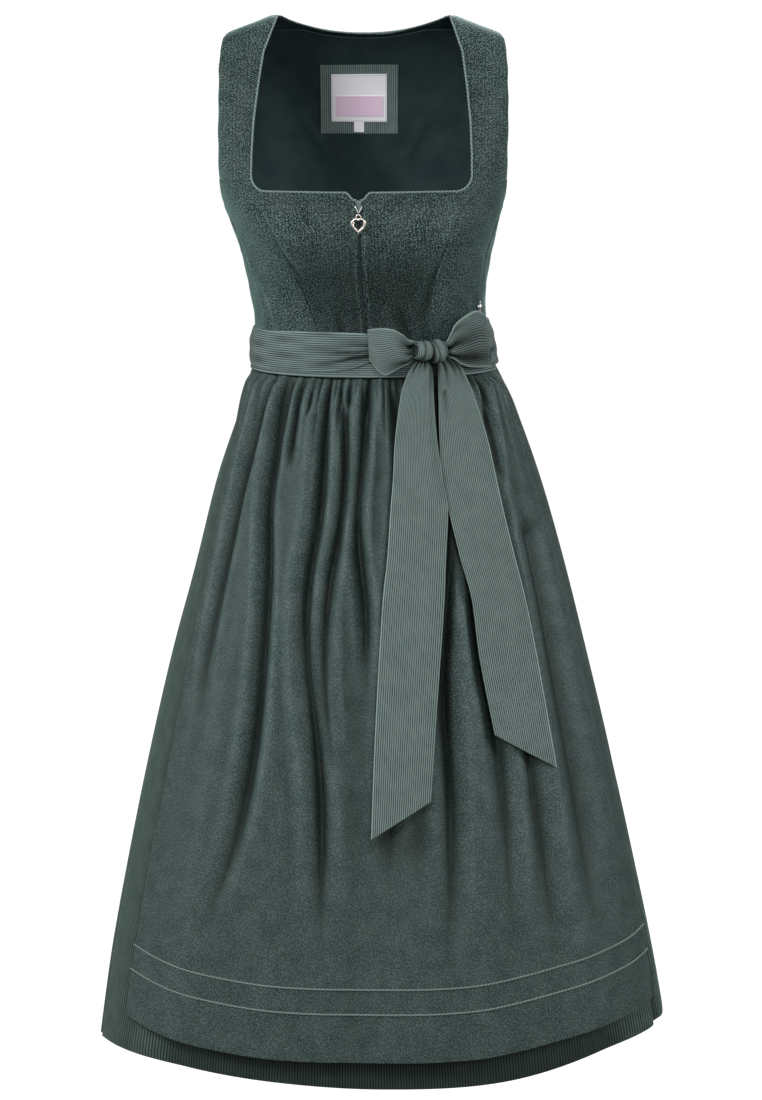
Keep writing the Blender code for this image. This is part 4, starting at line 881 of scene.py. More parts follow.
def plain_cloth(name, colour, thread=0.0006, depth=0.00012, strength=0.02, **shine):
    """Fine plain weave: two crossing rows of threads."""
    made, n, shader = new_material(name, **shine)
    place = n.place()
    ways = (place, n.turned(place))
    warp, weft = (n.use(RIBS, Place=way, Pitch=thread, Wander=thread * 0.3) for way in ways)
    shaded = n.use(SHADE, Place=place, Colour=(*colour, 1.0), Scale=30.0, Strength=strength)[0]
    surface(n, shader, shaded, n.plus(warp["Height"], weft["Height"]), depth)
    return made


def cord_cloth(name, light, dark, **shine):
    """Twisted cord: light strands with dark lines where they meet, |cos(pi u)| over the turn u."""
    made, n, shader = new_material(name, **shine)
    strand = n.math("ABSOLUTE", n.math("COSINE", n.times(n.split(n.place())[0], math.pi)))
    surface(n, shader, n.mix(n.ramp(strand, 0.1, 0.75), dark, light))
    return made


def metal(name, colour, roughness, scratch=0.08):
    """Metal with fine noise in its roughness and a little in its colour."""
    made, n, shader = new_material(name, roughness=roughness, metallic=1.0, specular=0.5)
    place = n.add("ShaderNodeTexCoord").outputs["Object"]
    rough = n.add("ShaderNodeMapRange", Value=n.noise(place, 900.0, 3.0).outputs[0],
                  To_Min=roughness - scratch / 2, To_Max=roughness + scratch).outputs[0]
    shaded = n.use(SHADE, Place=place, Colour=(*colour, 1.0), Scale=300.0, Strength=0.06)[0]
    surface(n, shader, shaded, roughness=rough)
    return made


# The folds pairs, such as (0.85, 0.45), set how dark the painted shade in folds and how light the painted
# highlight on ridges is.
BODICE = jacquard_cloth("green_pebbled_jacquard", (0.0015, 0.005, 0.0045), (0.114, 0.178, 0.171),
                        (0.0012, 0.0016, 0.0012), 0.37, 0.0004, (0.85, 0.45), row_share=0.75, sparkle=2.9,
                        roughness=0.6, specular=0.22, sheen=0.55, sheen_roughness=0.40)
LINING = plain_cloth("dark_green_lining", (0.0165, 0.0315, 0.0340), roughness=0.6, specular=0.12)
APRON = jacquard_cloth("apron_small_jacquard", (0.020, 0.034, 0.031), (0.079, 0.114, 0.109),
                       (0.0017, 0.0017, 0.0017), 0.42, 0.00025, (0.80, 0.50), roughness=0.48, specular=0.35,
                       sheen=0.08)
SKIRT = rib_cloth("skirt_fine_rib", (0.074, 0.112, 0.097), (0.004, 0.010, 0.008), 0.0036, depth=0.0003,
                  folds=(0.75, 0.5), roughness=0.6, specular=0.2, sheen=0.08)
SASH = rib_cloth("ribbon_rib", (0.170, 0.226, 0.214), (0.012, 0.024, 0.023), 0.0021, edge_light=0.55,
                 folds=(0.9, 0.35), roughness=0.6, specular=0.20)
SASH_ROUND = rib_cloth("ribbon_rib_round", (0.160, 0.217, 0.208), (0.015, 0.028, 0.027), 0.0022, turned=True,
                       edge_light=0.3, folds=(0.85, 0.35), roughness=0.6, specular=0.20)
PATCH = rib_cloth("patch_rib", (0.180, 0.240, 0.226), (0.040, 0.066, 0.063), 0.0021, roughness=0.7,
                  specular=0.15)
LABEL = plain_cloth("white_label_weave", (0.97, 0.96, 1.0), 0.0009, 0.00006, 0.0, roughness=0.5, specular=0.5)
PANEL = plain_cloth("pink_label_weave", (0.88, 0.66, 0.83), 0.0009, 0.00006, 0.0, roughness=0.5, specular=0.5)
TAPE = plain_cloth("zip_tape_weave", (0.018, 0.029, 0.030), 0.0008, 0.00015, roughness=0.8)
CORD = cord_cloth("green_piping", (0.215, 0.295, 0.272), (0.030, 0.050, 0.046), roughness=0.6, specular=0.2)
PIPING = cord_cloth("grey_green_piping", (0.205, 0.255, 0.243), (0.030, 0.044, 0.042), roughness=0.6,
                    specular=0.2)
PALE_CORD = cord_cloth("pale_cord", (0.50, 0.56, 0.53), (0.20, 0.24, 0.22), roughness=0.7)
THREAD = cord_cloth("sewing_thread", (0.085, 0.125, 0.118), (0.040, 0.060, 0.056), roughness=0.6)
GUNMETAL = metal("gunmetal", (0.42, 0.44, 0.44), 0.30)
ROSE_GOLD = metal("rose_gold", (0.95, 0.86, 0.78), 0.27, 0.02)
SILVER = metal("silver", (0.72, 0.73, 0.74), 0.28)
TEETH = metal("zip_teeth_metal", (0.055, 0.072, 0.070), 0.45)
SLIDER = metal("zip_slider_metal", (0.12, 0.160, 0.153), 0.42)


# ---- bodice -----------------------------------------------------------------------------------

def notch(x):
    """Depth of the V in the neck's lower edge: half a cosine wave between its two half widths."""
    share = unit((np.abs(x) - NOTCH_EDGES[0]) / (NOTCH_EDGES[1] - NOTCH_EDGES[0]))
    return NOTCH_DEPTH * (0.5 + 0.5 * np.cos(math.pi * share))


def neck_edge(z):
    """Half width of the neck opening; its lower corner is a quarter circle."""
    into = np.clip(NECK_BOTTOM_Z + NECK_CORNER_RADIUS - z, 0, NECK_CORNER_RADIUS)
    return edge_at(z, NECK) - NECK_CORNER_RADIUS + np.sqrt(np.maximum(NECK_CORNER_RADIUS**2 - into**2, 0))


def seam_and_armhole(z, seam_rows, seam_top):
    """Half width of a panel: its princess seam, less half the gap, and the armhole above the seam."""
    return np.where(z < seam_top, edge_at(z, seam_rows) - SEAM_GAP / 2, edge_at(z, ARMHOLE))


def corner_levels(first, count):
    """Levels on the neck's lower corner, at even angles of its quarter circle."""
    return NECK_BOTTOM_Z + NECK_CORNER_RADIUS * (1 - np.cos(np.linspace(first, math.pi / 2, count)))


# Creases of the bodice as seen from the front: width, depth, line of (level, offset).
FRONT_CREASES = {
    1: ((0.0030, 0.0010, ((-0.196, 0.098), (-0.215, 0.079), (-0.235, 0.071))),
        (0.0035, 0.0009, ((-0.240, 0.068), (-0.268, 0.056), (-0.292, 0.050))),
        (0.0028, 0.0008, ((-0.205, 0.110), (-0.228, 0.100), (-0.250, 0.097))),
        (0.0040, 0.0010, ((-0.285, 0.030), (-0.310, 0.034), (-0.343, 0.036)))),
    -1: ((0.0030, 0.0009, ((-0.215, 0.080), (-0.240, 0.066), (-0.262, 0.060))),
         (0.0040, 0.0010, ((-0.262, 0.090), (-0.290, 0.084), (-0.320, 0.083))),
         (0.0040, 0.0009, ((-0.290, 0.028), (-0.315, 0.026), (-0.343, 0.028)))),
}
# The same for the side panels, over angles with widths in degrees, and for the back.
SIDE_CREASES = (
    (0.0040 / DEGREE, 0.0012, ((-0.275, 62.0), (-0.305, 60.0), (-0.343, 61.0))),
    (0.0035 / DEGREE, 0.0010, ((-0.200, 74.0), (-0.230, 70.0), (-0.265, 71.0))),
)
BACK_CREASES = (
    (0.0045, 0.0012, ((-0.270, 0.020), (-0.300, 0.022), (-0.343, 0.018))),
    (0.0045, 0.0012, ((-0.262, -0.024), (-0.300, -0.020), (-0.343, -0.023))),
    (0.0060, 0.0012, ((-0.150, 0.075), (-0.190, 0.060), (-0.225, 0.055))),
    (0.0060, 0.0011, ((-0.155, -0.072), (-0.190, -0.060), (-0.220, -0.052))),
)
# Lean of the front's middle to the wearer's right: level, offset.
ZIP_LEAN = ((-0.345, -0.0090), (-0.300, -0.0082), (-0.260, -0.0058), (-0.225, -0.0025), (-0.190, 0.0),
            (0.0, 0.0))


def zip_lean(x, z):
    """Sideways lean of the front's middle, less and less away from it."""
    return column_of(ZIP_LEAN, z) * unit(1 - np.abs(x) / LEAN_REACH)


def lay_front(x, y, z, out=0.0):
    """Points of the bodice's front, with the lean of its middle."""
    points = lay(x, y, z, out)
    points[..., 0] += zip_lean(x, z)
    return points


def front_relief(side, x, z):
    """Relief and painted light of the front: creases, the line sewn beside the zip and along the neck, the
    hollow under the bust, a groove down the zip and soft waves in the relief; painted shade in the creases,
    sewn lines and hollow, below the bust and in a dark line each side of the zip, with painted light beside
    that line and above the bust."""
    aside = np.abs(x)
    creases = grooves(FRONT_CREASES[side], aside, z)
    top = NECK_BOTTOM_Z - notch(x)
    line = np.where(z < top - PLACKET, bell(aside - PLACKET, 0.0010), 0)
    under = np.where((aside > PLACKET - 0.001) & (z < top - 0.003), bell(z - top + PLACKET, 0.0011), 0)
    sewn = np.maximum(line, under * unit((0.10 - aside) / 0.01))
    soft = 0.0005 * np.sin(x * 95 + 1.3 * side) * np.sin(z * 60 + side) + 0.0003 * np.sin(z * 190 + x * 70)
    hollow = bell(aside - 0.052, 0.020) * bell(z + 0.262, 0.034)
    below = unit((-0.212 - z) / 0.035) * bell(aside, 0.078, 4)
    above = bell(z + 0.196, 0.020)
    beside_zip = bell(aside, 0.0019) - 0.30 * bell(aside - 0.0042, 0.0014)
    relief = creases - 0.0009 * sewn - 0.0015 * hollow - 0.0008 * beside_zip + soft
    # painted shade in creases, sewn lines, the hollow, below the bust and along the zip; painted light above
    # the bust and beside the zip's dark line
    shade = creases / 0.0012 - 0.8 * sewn - 0.25 * hollow - 0.66 * below + 0.9 * above - 1.9 * beside_zip
    return relief, shade


def bodice_front(side, name):
    """Front with its strap: below the neck columns run from the zip to the seam, above it from the
    neck's edge to the armhole, with rows set along the corner's quarter circle."""
    below, near_columns, far_columns = 74, 56, 26
    corner = corner_levels(0, 11)
    key_top, key_low = depth_key(-0.00002), depth_key(corner[-1])
    strap = -(key_low + (key_top - key_low) * np.linspace(0, 1, 62)[1:])**2
    rising = WAIST_Z + (NECK_BOTTOM_Z - WAIST_Z) * np.linspace(0, 1, below)
    levels = np.concatenate([rising, corner[1:], strap])
    seam = seam_and_armhole(levels, PRINCESS, PRINCESS_TOP_Z)
    ratio = neck_edge(NECK_BOTTOM_Z) / seam[below - 1]
    inner_edge = np.where(levels < NECK_BOTTOM_Z, seam * ratio, neck_edge(levels))
    first = ZIP_GAP / 2
    near = first + (inner_edge[:, None] - first) * np.linspace(0, 1, near_columns)**1.15
    far = inner_edge[:, None] + (seam - inner_edge)[:, None] * np.linspace(0, 1, far_columns)[1:]
    x = np.concatenate([near, far], axis=1)
    z = np.repeat(levels[:, None], x.shape[1], axis=1)
    share = ((levels[:below] - WAIST_Z) / (NECK_BOTTOM_Z - WAIST_Z))[:, None]
    z[:below] -= notch(x[:below]) * share**3
    cells = np.ones((x.shape[0] - 1, x.shape[1] - 1), bool)
    cells[below - 1:, :near_columns - 1] = False
    x, y = by_width(x, z)
    y = np.minimum(y, -SHOULDER_SEAM)
    relief, shade = front_relief(side, x, z)
    level, start = levels[:, None], inner_edge[:, None]
    to_sides = np.minimum(x - np.where(level > NECK_BOTTOM_Z, start, first), seam[:, None] - x)
    to_top = np.where((x < start + 1e-9) & (level <= NECK_BOTTOM_Z), NECK_BOTTOM_Z - notch(x) - z, 1.0)
    edge = np.maximum(np.minimum(to_sides, to_top), 0)
    return shell(name, lay_front(side * x, y, z, relief), BODICE_WALL, [BODICE, LINING], (side * x, z),
                 -outward(side * x, y, z), cells, edge, BODICE_ROLL, shade)


def side_panel(side, name, seam_rows, seam_top, front):
    """Panel from a princess seam to the side seam; its top follows the armhole: (1 - share)^2.2."""
    shares = np.linspace(0, 1, 42)
    top = ARMHOLE_BOTTOM_Z + (seam_top - ARMHOLE_BOTTOM_Z) * (1 - shares)**2.2
    z = WAIST_Z + (top[None, :] - WAIST_Z) * np.linspace(0, 1, 74)[:, None]
    seam_x, seam_y = by_width(edge_at(z[:, 0], seam_rows) + SEAM_GAP / 2, z[:, 0], front)
    start = np.degrees(np.arctan2(seam_x, -seam_y))
    half_gap = np.degrees(SEAM_GAP / 2 / 0.07)
    stop = 90.0 - half_gap if front else 90.0 + half_gap
    angle = start[:, None] + (stop - start)[:, None] * shares
    x, y = by_angle(angle, z)
    wave = 0.0006 * np.sin(angle * 0.22 + side) * np.sin(z * 75) + 0.0003 * np.sin(z * 210 + angle * 0.4)
    pull = grooves(SIDE_CREASES, angle if front else 180 - angle, z)
    return laid_shell(name, side * x, y, z, wave + pull, BODICE_WALL, [BODICE, LINING],
                      np.radians(angle) * SIDE_RADIUS * side, z, BODICE_ROLL)


def back_neck_level(x):
    """Level of the back's neck edge: -drop (1 - |x / half width|^2.2)."""
    inside = unit(1 - (np.abs(x) / BACK_NECK_HALF_WIDTH)**2.2)
    return -np.maximum(BACK_NECK_DROP * inside, 1e-5)


def bodice_back():
    """Back: columns spread to the seam or armhole, rows end on the neck's curve and the shoulders."""
    columns = np.linspace(-1, 1, 101)
    top = back_neck_level(columns * ARMHOLE[-1][1])
    key_low, key_top = depth_key(WAIST_Z), depth_key(top)[None, :]
    z = -(key_low + (key_top - key_low) * np.linspace(0, 1, 121)[:, None])**2
    half = seam_and_armhole(z, BACK_PRINCESS, BACK_PRINCESS_TOP_Z)
    x, y = by_width(columns[None, :] * half, z, front=False)
    y = np.maximum(y, SHOULDER_SEAM)
    soft = 0.0006 * np.sin(x * 60 + 0.6) * np.sin(z * 55) + 0.0003 * np.sin(z * 170 + x * 50)
    return laid_shell("bodice_back_panel", x, y, z, soft + grooves(BACK_CREASES, x, z), BODICE_WALL,
                      [BODICE, LINING], x, z, 0.0006)


# Soft creases of the loose lining, as seen from inside the neck.
LINING_CREASES = (
    (0.0050, 0.0016, ((-0.105, -0.062), (-0.130, -0.045), (-0.160, -0.030))),
    (0.0045, 0.0015, ((-0.125, 0.002), (-0.150, 0.000), (-0.200, 0.003))),
    (0.0050, 0.0016, ((-0.110, 0.060), (-0.140, 0.046), (-0.175, 0.042))),
    (0.0060, 0.0012, ((-0.130, 0.080), (-0.160, 0.066), (-0.200, 0.060))),
    (0.0060, 0.0012, ((-0.140, -0.085), (-0.180, -0.070), (-0.230, -0.062))),
)


def lining_out(x, z):
    """Reach of the lining's outer face: it eases in where it is creased and sags a little."""
    return (LINING_OUT + grooves(LINING_CREASES, x, z)
            - 0.0006 * (0.5 + 0.5 * np.sin(x * 70 + 0.5) * np.sin(z * 45 + 0.8)))


def back_lining():
    """Lining: columns spread to the side, rows from just above the waist to just under the neck's edge."""
    columns = np.linspace(-1, 1, 91)
    top = np.minimum(back_neck_level(columns * LINING_HALF_WIDTH) - 0.0012, -0.0110)
    z = WAIST_Z + 0.002 + (top[None, :] - WAIST_Z - 0.002) * np.linspace(0, 1, 110)[:, None]
    half = np.minimum(form_at(z, "half_width") * 0.975, LINING_HALF_WIDTH)
    x, y = by_width(columns[None, :] * half, z, front=False)
    return laid_shell("back_lining_cloth", x, y, z, lining_out(x, z), LINING_WALL, [LINING], x, z)


def on_lining(x, z, layer, lift=0.0):
    """Points on the lining's inner face, above the layers of the label below, and the way outwards."""
    x, y = by_width(x, z, front=False)
    out = lining_out(x, z) - LINING_WALL - LABEL_GAP - layer * (LABEL_WALL + 0.0002) - lift
    return lay(x, y, z, out), outward(x, y, z)


def label(name, edges, layer, look, seam):
    """Rectangle of cloth on the lining, with stitches a seam's width inside its edges."""
    left, right, top, bottom = edges
    x, z = np.meshgrid(np.linspace(left, right, 36), np.linspace(bottom, top, 36))
    points, outwards = on_lining(x, z, layer)
    made = shell(name, points, LABEL_WALL, [look], (x, z), -outwards)
    if seam:
        left, right, top, bottom = left + seam, right - seam, top - seam, bottom + seam
        corners = ((left, bottom), (right, bottom), (right, top), (left, top), (left, bottom))
        for number, (start, stop) in enumerate(zip(corners[:-1], corners[1:])):
            path, outwards = on_lining(*np.linspace(start, stop, 30).T, layer, LABEL_WALL + 0.0001)
            stitches(f"{name}_stitch_{number + 1}", path, -outwards, 0.0018, 0.0008, 0.0003)
    return made


def neck_cord():
    """Cord round the neck's edge: down the strap, round the corner, to the zip, and over the back."""
    x = np.concatenate([np.linspace(ZIP_GAP / 2 + 0.0005, 0.016, 26), np.linspace(0.018, 0.0900, 40)])
    corner = corner_levels(0.04, 12)
    keys = np.linspace(depth_key(corner[-1]), depth_key(-0.0004), 60)
    rising = np.concatenate([corner, -keys[1:]**2])
    x, z = np.concatenate([x, neck_edge(rising)]), np.concatenate([NECK_BOTTOM_Z - notch(x), rising])
    sides = []
    for sign in (-1, 1):
        x, y = by_width(x, z)
        path = lay(sign * x, y, z, -BODICE_WALL / 2)
        normal = outward(sign * x, y, z)
        inward = of_length_one(np.cross(np.gradient(path, axis=0), normal))
        inward *= np.where(inward[:, 2] - sign * inward[:, 0] > 0, 1, -1)[:, None]
        sides.append((path + inward * 0.0007, normal))
    columns = np.linspace(-0.0835, 0.0835, 70)
    level = back_neck_level(columns)
    back_x, back_y = by_width(columns, level, front=False)
    back = lay(back_x, back_y, level, -BODICE_WALL / 2) + np.array([0, 0.0008, 0.0001])
    path = np.concatenate([sides[0][0][:-1], back, sides[1][0][::-1][1:]])
    hint = np.concatenate([sides[0][1][:-1], np.tile([0, 0.5, 0.85], (len(back), 1)), sides[1][1][::-1][1:]])
    hint = resampled(hint, len(even_path(path, CORD_STEP)[0]))
    return twisted_cord("neck_piping_cord", path, hint, 0.00105, CORD)


# ---- skirt and apron --------------------------------------------------------------------------

def skirt_hem(angle):
    """Level of the skirt's hem all round."""
    return column_of(SKIRT_HEM, (angle + 180.0) % 360.0 - 180.0)


def gathers(angle, z, rows):
    """Narrow pleats that start at the band. A row is angle, depth, half width, length; each pleat
    widens and fades as it falls: depth exp(-(fall/length)^1.5) exp(-|aside/width|^1.4)."""
    fallen = np.maximum(APRON_TOP_Z - z, 0)
    radius = form_at(z, "half_width")
    total = np.zeros(np.broadcast(angle, z).shape)
    for place, depth, width, length in rows:
        aside = np.radians(angle - place) * radius
        total -= depth * bell(fallen, length, 1.5) * bell(aside, 0.95 * width * (1 + fallen * 10), 1.4)
    return total


def seeded_gathers(start, stop, spacing, depth, length, seed):
    """Gathers between two angles, evenly spaced and then moved, deepened and lengthened by chance."""
    rng = np.random.default_rng(seed)
    count = int((stop - start) / spacing)
    places = np.linspace(start, stop, count) + rng.uniform(-0.3, 0.3, count) * spacing
    return [(place, depth * rng.uniform(0.5, 1.2), rng.uniform(0.0015, 0.0024),
             length * rng.uniform(0.4, 1.6)) for place in places]


def skirt_folds(angle, down, z):
    """Folds of the skirt where it shows: seeded, irregular troughs all round, deeper at the back."""
    rng = np.random.default_rng(11)
    places = np.arange(84.0, 278.0, 8.2)
    places = places + rng.uniform(-2.2, 2.2, len(places))
    total = np.zeros(np.broadcast(angle, z).shape)
    radius = form_at(z, "half_width")
    for place in places:
        deep = rng.uniform(0.0035, 0.0090)
        width = rng.uniform(0.006, 0.011)
        drift = rng.uniform(-4.0, 4.0)
        start = rng.uniform(-0.05, 0.15)
        end = rng.uniform(0.55, 1.5)
        aside = np.radians(angle % 360.0 - place - drift * down) * radius / width
        share = unit((down - start) / 0.2) * unit((end - down) / 0.45)
        total -= deep * share * trough(aside, 1.6, 0.3, 2.0, 1.1)
    return total


SKIRT_GATHERS = seeded_gathers(80.0, 282.0, spacing=3.6, depth=0.0040, length=0.050, seed=5)


def skirt_panel(name, angles, rows):
    """Half of the skirt: columns at the angles, rows from the waist to the uneven hem. Under the apron it
    lies further in; painted shade darkens it there and along the apron's side edges as the apron's shadow,
    and in its folds, with painted highlight on their ridges."""
    angle = np.asarray(angles, float)[None, :]
    upper = np.linspace(0, 0.10, rows // 4)
    down = np.concatenate([upper, np.linspace(0.10, 1, rows - rows // 4 + 1)[1:]])[:, None]
    top = WAIST_Z - SEAM_GAP - 0.0003
    z = top + (skirt_hem(angle) - top) * down
    signed = (angle + 180.0) % 360.0 - 180.0
    beside = np.minimum(signed - column_of(APRON_SIDES, down, 1), column_of(APRON_SIDES, down, 2) - signed)
    cover = unit((beside + 3.0) / 20.0)
    under = eased(cover)
    ease = unit(down / 0.03)
    relief = skirt_folds(angle, down, z) + gathers(angle % 360, z, SKIRT_GATHERS)
    relief = relief * ease * (1 - 0.85 * cover)
    out = relief - (0.006 + (APRON_ROOM + 0.002 * down**3) * ease) * under - 0.0012 * bell(beside, 4.0) * ease
    # painted shade in the folds, under the apron and along its side edges, and painted highlight on the
    # ridges
    shade = fold_share(relief, 6, 0.0040) - 0.9 * under**2 - 0.5 * bell(beside, 4.0, 1.5)
    return laid_shell(name, *by_angle(angle, z), z, out, SKIRT_WALL, [SKIRT],
                      np.radians(angle) * SKIRT_RADIUS, None, 0.0005, shade)


def apron_hem(angle):
    """Level of the apron's hem."""
    return column_of(APRON_HEM, angle)


def apron_relief(angle, down, z):
    """Folds, swells and gathers of the apron: each fold is a trough exp(-|aside/width|^1.5) that widens
    as it falls, between two soft ridges."""
    radius = form_at(z, "half_width")
    total = np.zeros(np.broadcast(angle, z).shape)
    for width, depth, line in APRON_FOLDS:
        middle, strength = fold_line(z, line, 0.012, 0.38)
        aside = np.radians(angle - middle) * radius / (1.15 * width * (1 + 0.8 * down))
        total -= 1.45 * depth * strength * trough(aside, 1.5, 0.28, 2.1, 0.9)
    for top_angle, hem_angle, spread, height in APRON_SWELLS:
        middle = top_angle + (hem_angle - top_angle) * down
        strength = unit(down / 0.15) * (1 - 0.35 * down)
        total += height * strength * (bell(angle - middle, spread) - 0.25)
    return np.maximum(total + gathers(angle, z, APRON_GATHERS), DEEPEST_FOLD)


def apron_place(down, across):
    """Angle, level, reach and relief of apron points: down 0 band to 1 hem, across 0 to 1 between its
    sides. The relief fades to nothing at the side edges, and the reach eases out below the band."""
    start, stop = column_of(APRON_SIDES, down, 1), column_of(APRON_SIDES, down, 2)
    angle = start + (stop - start) * across
    z = APRON_TOP_Z + (apron_hem(angle) - APRON_TOP_Z) * down
    ease = eased(down / 0.022)
    edge = eased(np.minimum(across, 1 - across) / 0.07)
    out = (APRON_EDGE_OUT + (APRON_OUT - APRON_EDGE_OUT) * edge) * ease - 0.0005 * (1 - ease)
    relief = np.minimum(apron_relief(angle, down, z), HIGHEST_RIDGE) * (0.45 + 0.55 * ease) * edge
    return angle, z, out + relief, relief


def beside_tail(points, tail):
    """How far points lie beside or below a tail of the bow, seen from the front."""
    fall, falls = -points[..., 2], [-row[1] for row in tail]
    low = np.interp(fall, falls, [row[0] for row in tail]) - points[..., 0]
    high = points[..., 0] - np.interp(fall, [-row[3] for row in tail], [row[2] for row in tail])
    return np.maximum(np.maximum(low, high), 0) + 0.2 * np.maximum(fall + tail[-1][1], 0)


def apron_panel():
    """Apron: rows closer below the band, with painted shade in its folds, under the knot and beside the
    tails, and painted highlight on its ridges.
    """
    down = np.concatenate([np.linspace(0, 0.16, 46), np.linspace(0.16, 1.0, 94)[1:]])[:, None]
    across = np.linspace(0, 1, 340)[None, :]
    angle, z, out, relief = apron_place(down, across)
    # painted shade in the folds and painted highlight on the ridges
    shade = 0.8 * fold_share(relief, 9, 0.0036) + 0.7 * fold_share(relief, 3, 0.0016)
    # painted shadow under the knot, between the tails
    shade = shade - bell(angle - 33.0, 3.0) * unit((z + 0.430) / 0.03)
    points = lay_angle(angle, z, out)
    # painted shadow beside each tail
    for tail in (TAIL_RIGHT, TAIL_LEFT):
        shade = shade - 0.75 * bell(beside_tail(points, tail), 0.0050, 1.5)
    return laid_shell("apron_cloth", *by_angle(angle, z), z, out, APRON_WALL, [APRON],
                      (across - 0.5) * APRON_WIDTH, None, 0.0004, shade)


def apron_piping(name, rise):
    """Cord across the apron a rise above its hem: the way down is corrected until its level is right."""
    across = np.linspace(0, 1, 300)
    down = np.full_like(across, 0.9)
    for _ in range(8):
        angle, z, out, _ = apron_place(down, across)
        down = down + (apron_hem(angle) + rise - z) / (apron_hem(angle) - APRON_TOP_Z)
    angle, z, out, _ = apron_place(down, across)
    path = lay_angle(angle, z, out + PIPING_RADIUS * 0.8)
    return twisted_cord(name, path, outward(*by_angle(angle, z), z)[0], PIPING_RADIUS, PIPING)


# ---- sash and bow -----------------------------------------------------------------------------

# Edges of the sash, narrowing towards the knot, as (angle, level).
SASH_RIGHT_TOP = ((-90.0, -0.3050), (8.0, -0.3050), (20.0, -0.3085), (32.0, -0.3130))
SASH_RIGHT_BOTTOM = ((-90.0, -0.3405), (-32.0, -0.3405), (-16.0, -0.3372), (-4.5, -0.3300), (10.0, -0.3265),
                     (32.0, -0.3255))
SASH_LEFT_TOP = ((34.5, -0.3180), (42.0, -0.3155), (50.0, -0.3060), (58.0, -0.2985), (64.0, -0.2965),
                 (89.8, -0.2965))
SASH_LEFT_BOTTOM = ((34.5, -0.3290), (48.0, -0.3350), (62.0, -0.3400), (89.8, -0.3405))
SASH_BACK_TOP = ((90.0, -0.2965), (104.0, -0.3000), (122.0, -0.3050), (269.8, -0.3050))
# Creases that fan out from the knot: width, depth, then (angle, level) rows.
SASH_CREASES = (
    (0.0016, 0.0017, ((-34.0, -0.3330), (-6.0, -0.3245), (8.0, -0.3215))),
    (0.0015, 0.0014, ((-38.0, -0.3245), (-8.0, -0.3195), (8.0, -0.3175))),
    (0.0014, 0.0011, ((-26.0, -0.3150), (-8.0, -0.3140), (6.0, -0.3130))),
)


def level_edge(z):
    """Edge that stays at one level all round."""
    return ((-90.0, z), (270.0, z))


def around(name, start, stop, columns, bottom, top, out, bulge, rows, relief=None, hug=0.0):
    """Stretch of a band round the waist between two edges listed as (angle, level) rows. It is fullest along
    its middle, bulge times sin(pi share), and its top edge hugs the bodice. Painted shade and highlight
    follow its creases and waver, and painted shadow of the knot darkens it near 32 degrees."""
    angle = np.linspace(start, stop, columns)[None, :]
    share = np.linspace(0, 1, rows)[:, None]
    top, bottom = column_of(top, angle), column_of(bottom, angle)
    z = bottom + (top - bottom) * share
    creases = relief(angle, z) if relief else 0 * z
    reach = out + bulge * np.sin(math.pi * share) - hug * share**5 + creases
    # painted shade and highlight from the creases, and painted shadow of the knot near 32 degrees
    shade = creases / 0.0010 - 1.2 * bell(angle - 32.0, 4.0)
    edge = np.minimum(share, 1 - share) * (top - bottom)
    return laid_shell(name, *by_angle(angle, z), z, reach, SASH_WALL, [SASH_ROUND],
                      np.radians(angle) * SASH_RADIUS, z, 0.0004, shade, edge)


# Short creases further round: middle angle, level, half width, depth.
SASH_DENTS = ((120.0, -0.322, 0.0018, 0.0008), (200.0, -0.316, 0.0018, 0.0009),
              (240.0, -0.328, 0.0018, 0.0008), (60.0, -0.325, 0.0018, 0.0009))


def sash_relief(angle, z):
    """Shallow lengthwise creases, deeper near the bow, and a slow waver."""
    total = 0.0004 * np.sin(np.radians(angle) * 9) * np.sin(z * 400)
    for width, depth, line in SASH_CREASES:
        middle = column_of(line, angle)
        share = unit((angle - line[0][0]) / 22.0) * (angle < 33.0)
        total = total - depth * share * bell(z - middle, width, 1.6)
    for centre, level, width, depth in SASH_DENTS:
        total = total - depth * bell(angle - centre, 22.0) * bell(z - level, width)
    return total - 0.0010 * bell(angle - 22.0, 26.0, 4) * bell(z + 0.3390, 0.0030)


def table_curves(rows, columns, at):
    """Every column of a table as a smooth curve over 0 to 1, from its first row to its last."""
    place = at * (len(rows) - 1)
    return [smooth(place, np.arange(len(rows)), [row[i] for row in rows]) for i in range(len(columns))]


# Creases of the bow's loops: place across, depth, half width, how far they run from the knot.
RIGHT_LOOP_CREASES = ((0.72, 0.0075, 0.18, 0.26), (0.10, 0.0045, 0.10, 0.36), (0.42, 0.0025, 0.06, 0.20))
LEFT_LOOP_CREASES = ((0.50, 0.0090, 0.22, 0.60), (0.15, 0.0070, 0.13, 0.75), (0.90, 0.0035, 0.07, 0.40))
# Folds of the tails: place across, depth, half width, how far they run, where they start.
RIGHT_TAIL_FOLDS = ((0.20, 0.0045, 0.06, 0.16, 0.0), (0.66, 0.0040, 0.07, 0.13, 0.0),
                    (0.42, 0.0030, 0.05, 0.11, 0.0), (0.90, 0.0015, 0.05, 0.50, 0.1))
LEFT_TAIL_FOLDS = ((0.34, 0.0050, 0.07, 0.26, 0.0), (0.66, 0.0050, 0.06, 0.20, 0.0),
                   (0.86, 0.0025, 0.05, 0.30, 0.0), (0.18, 0.0022, 0.10, 0.10, 0.27))


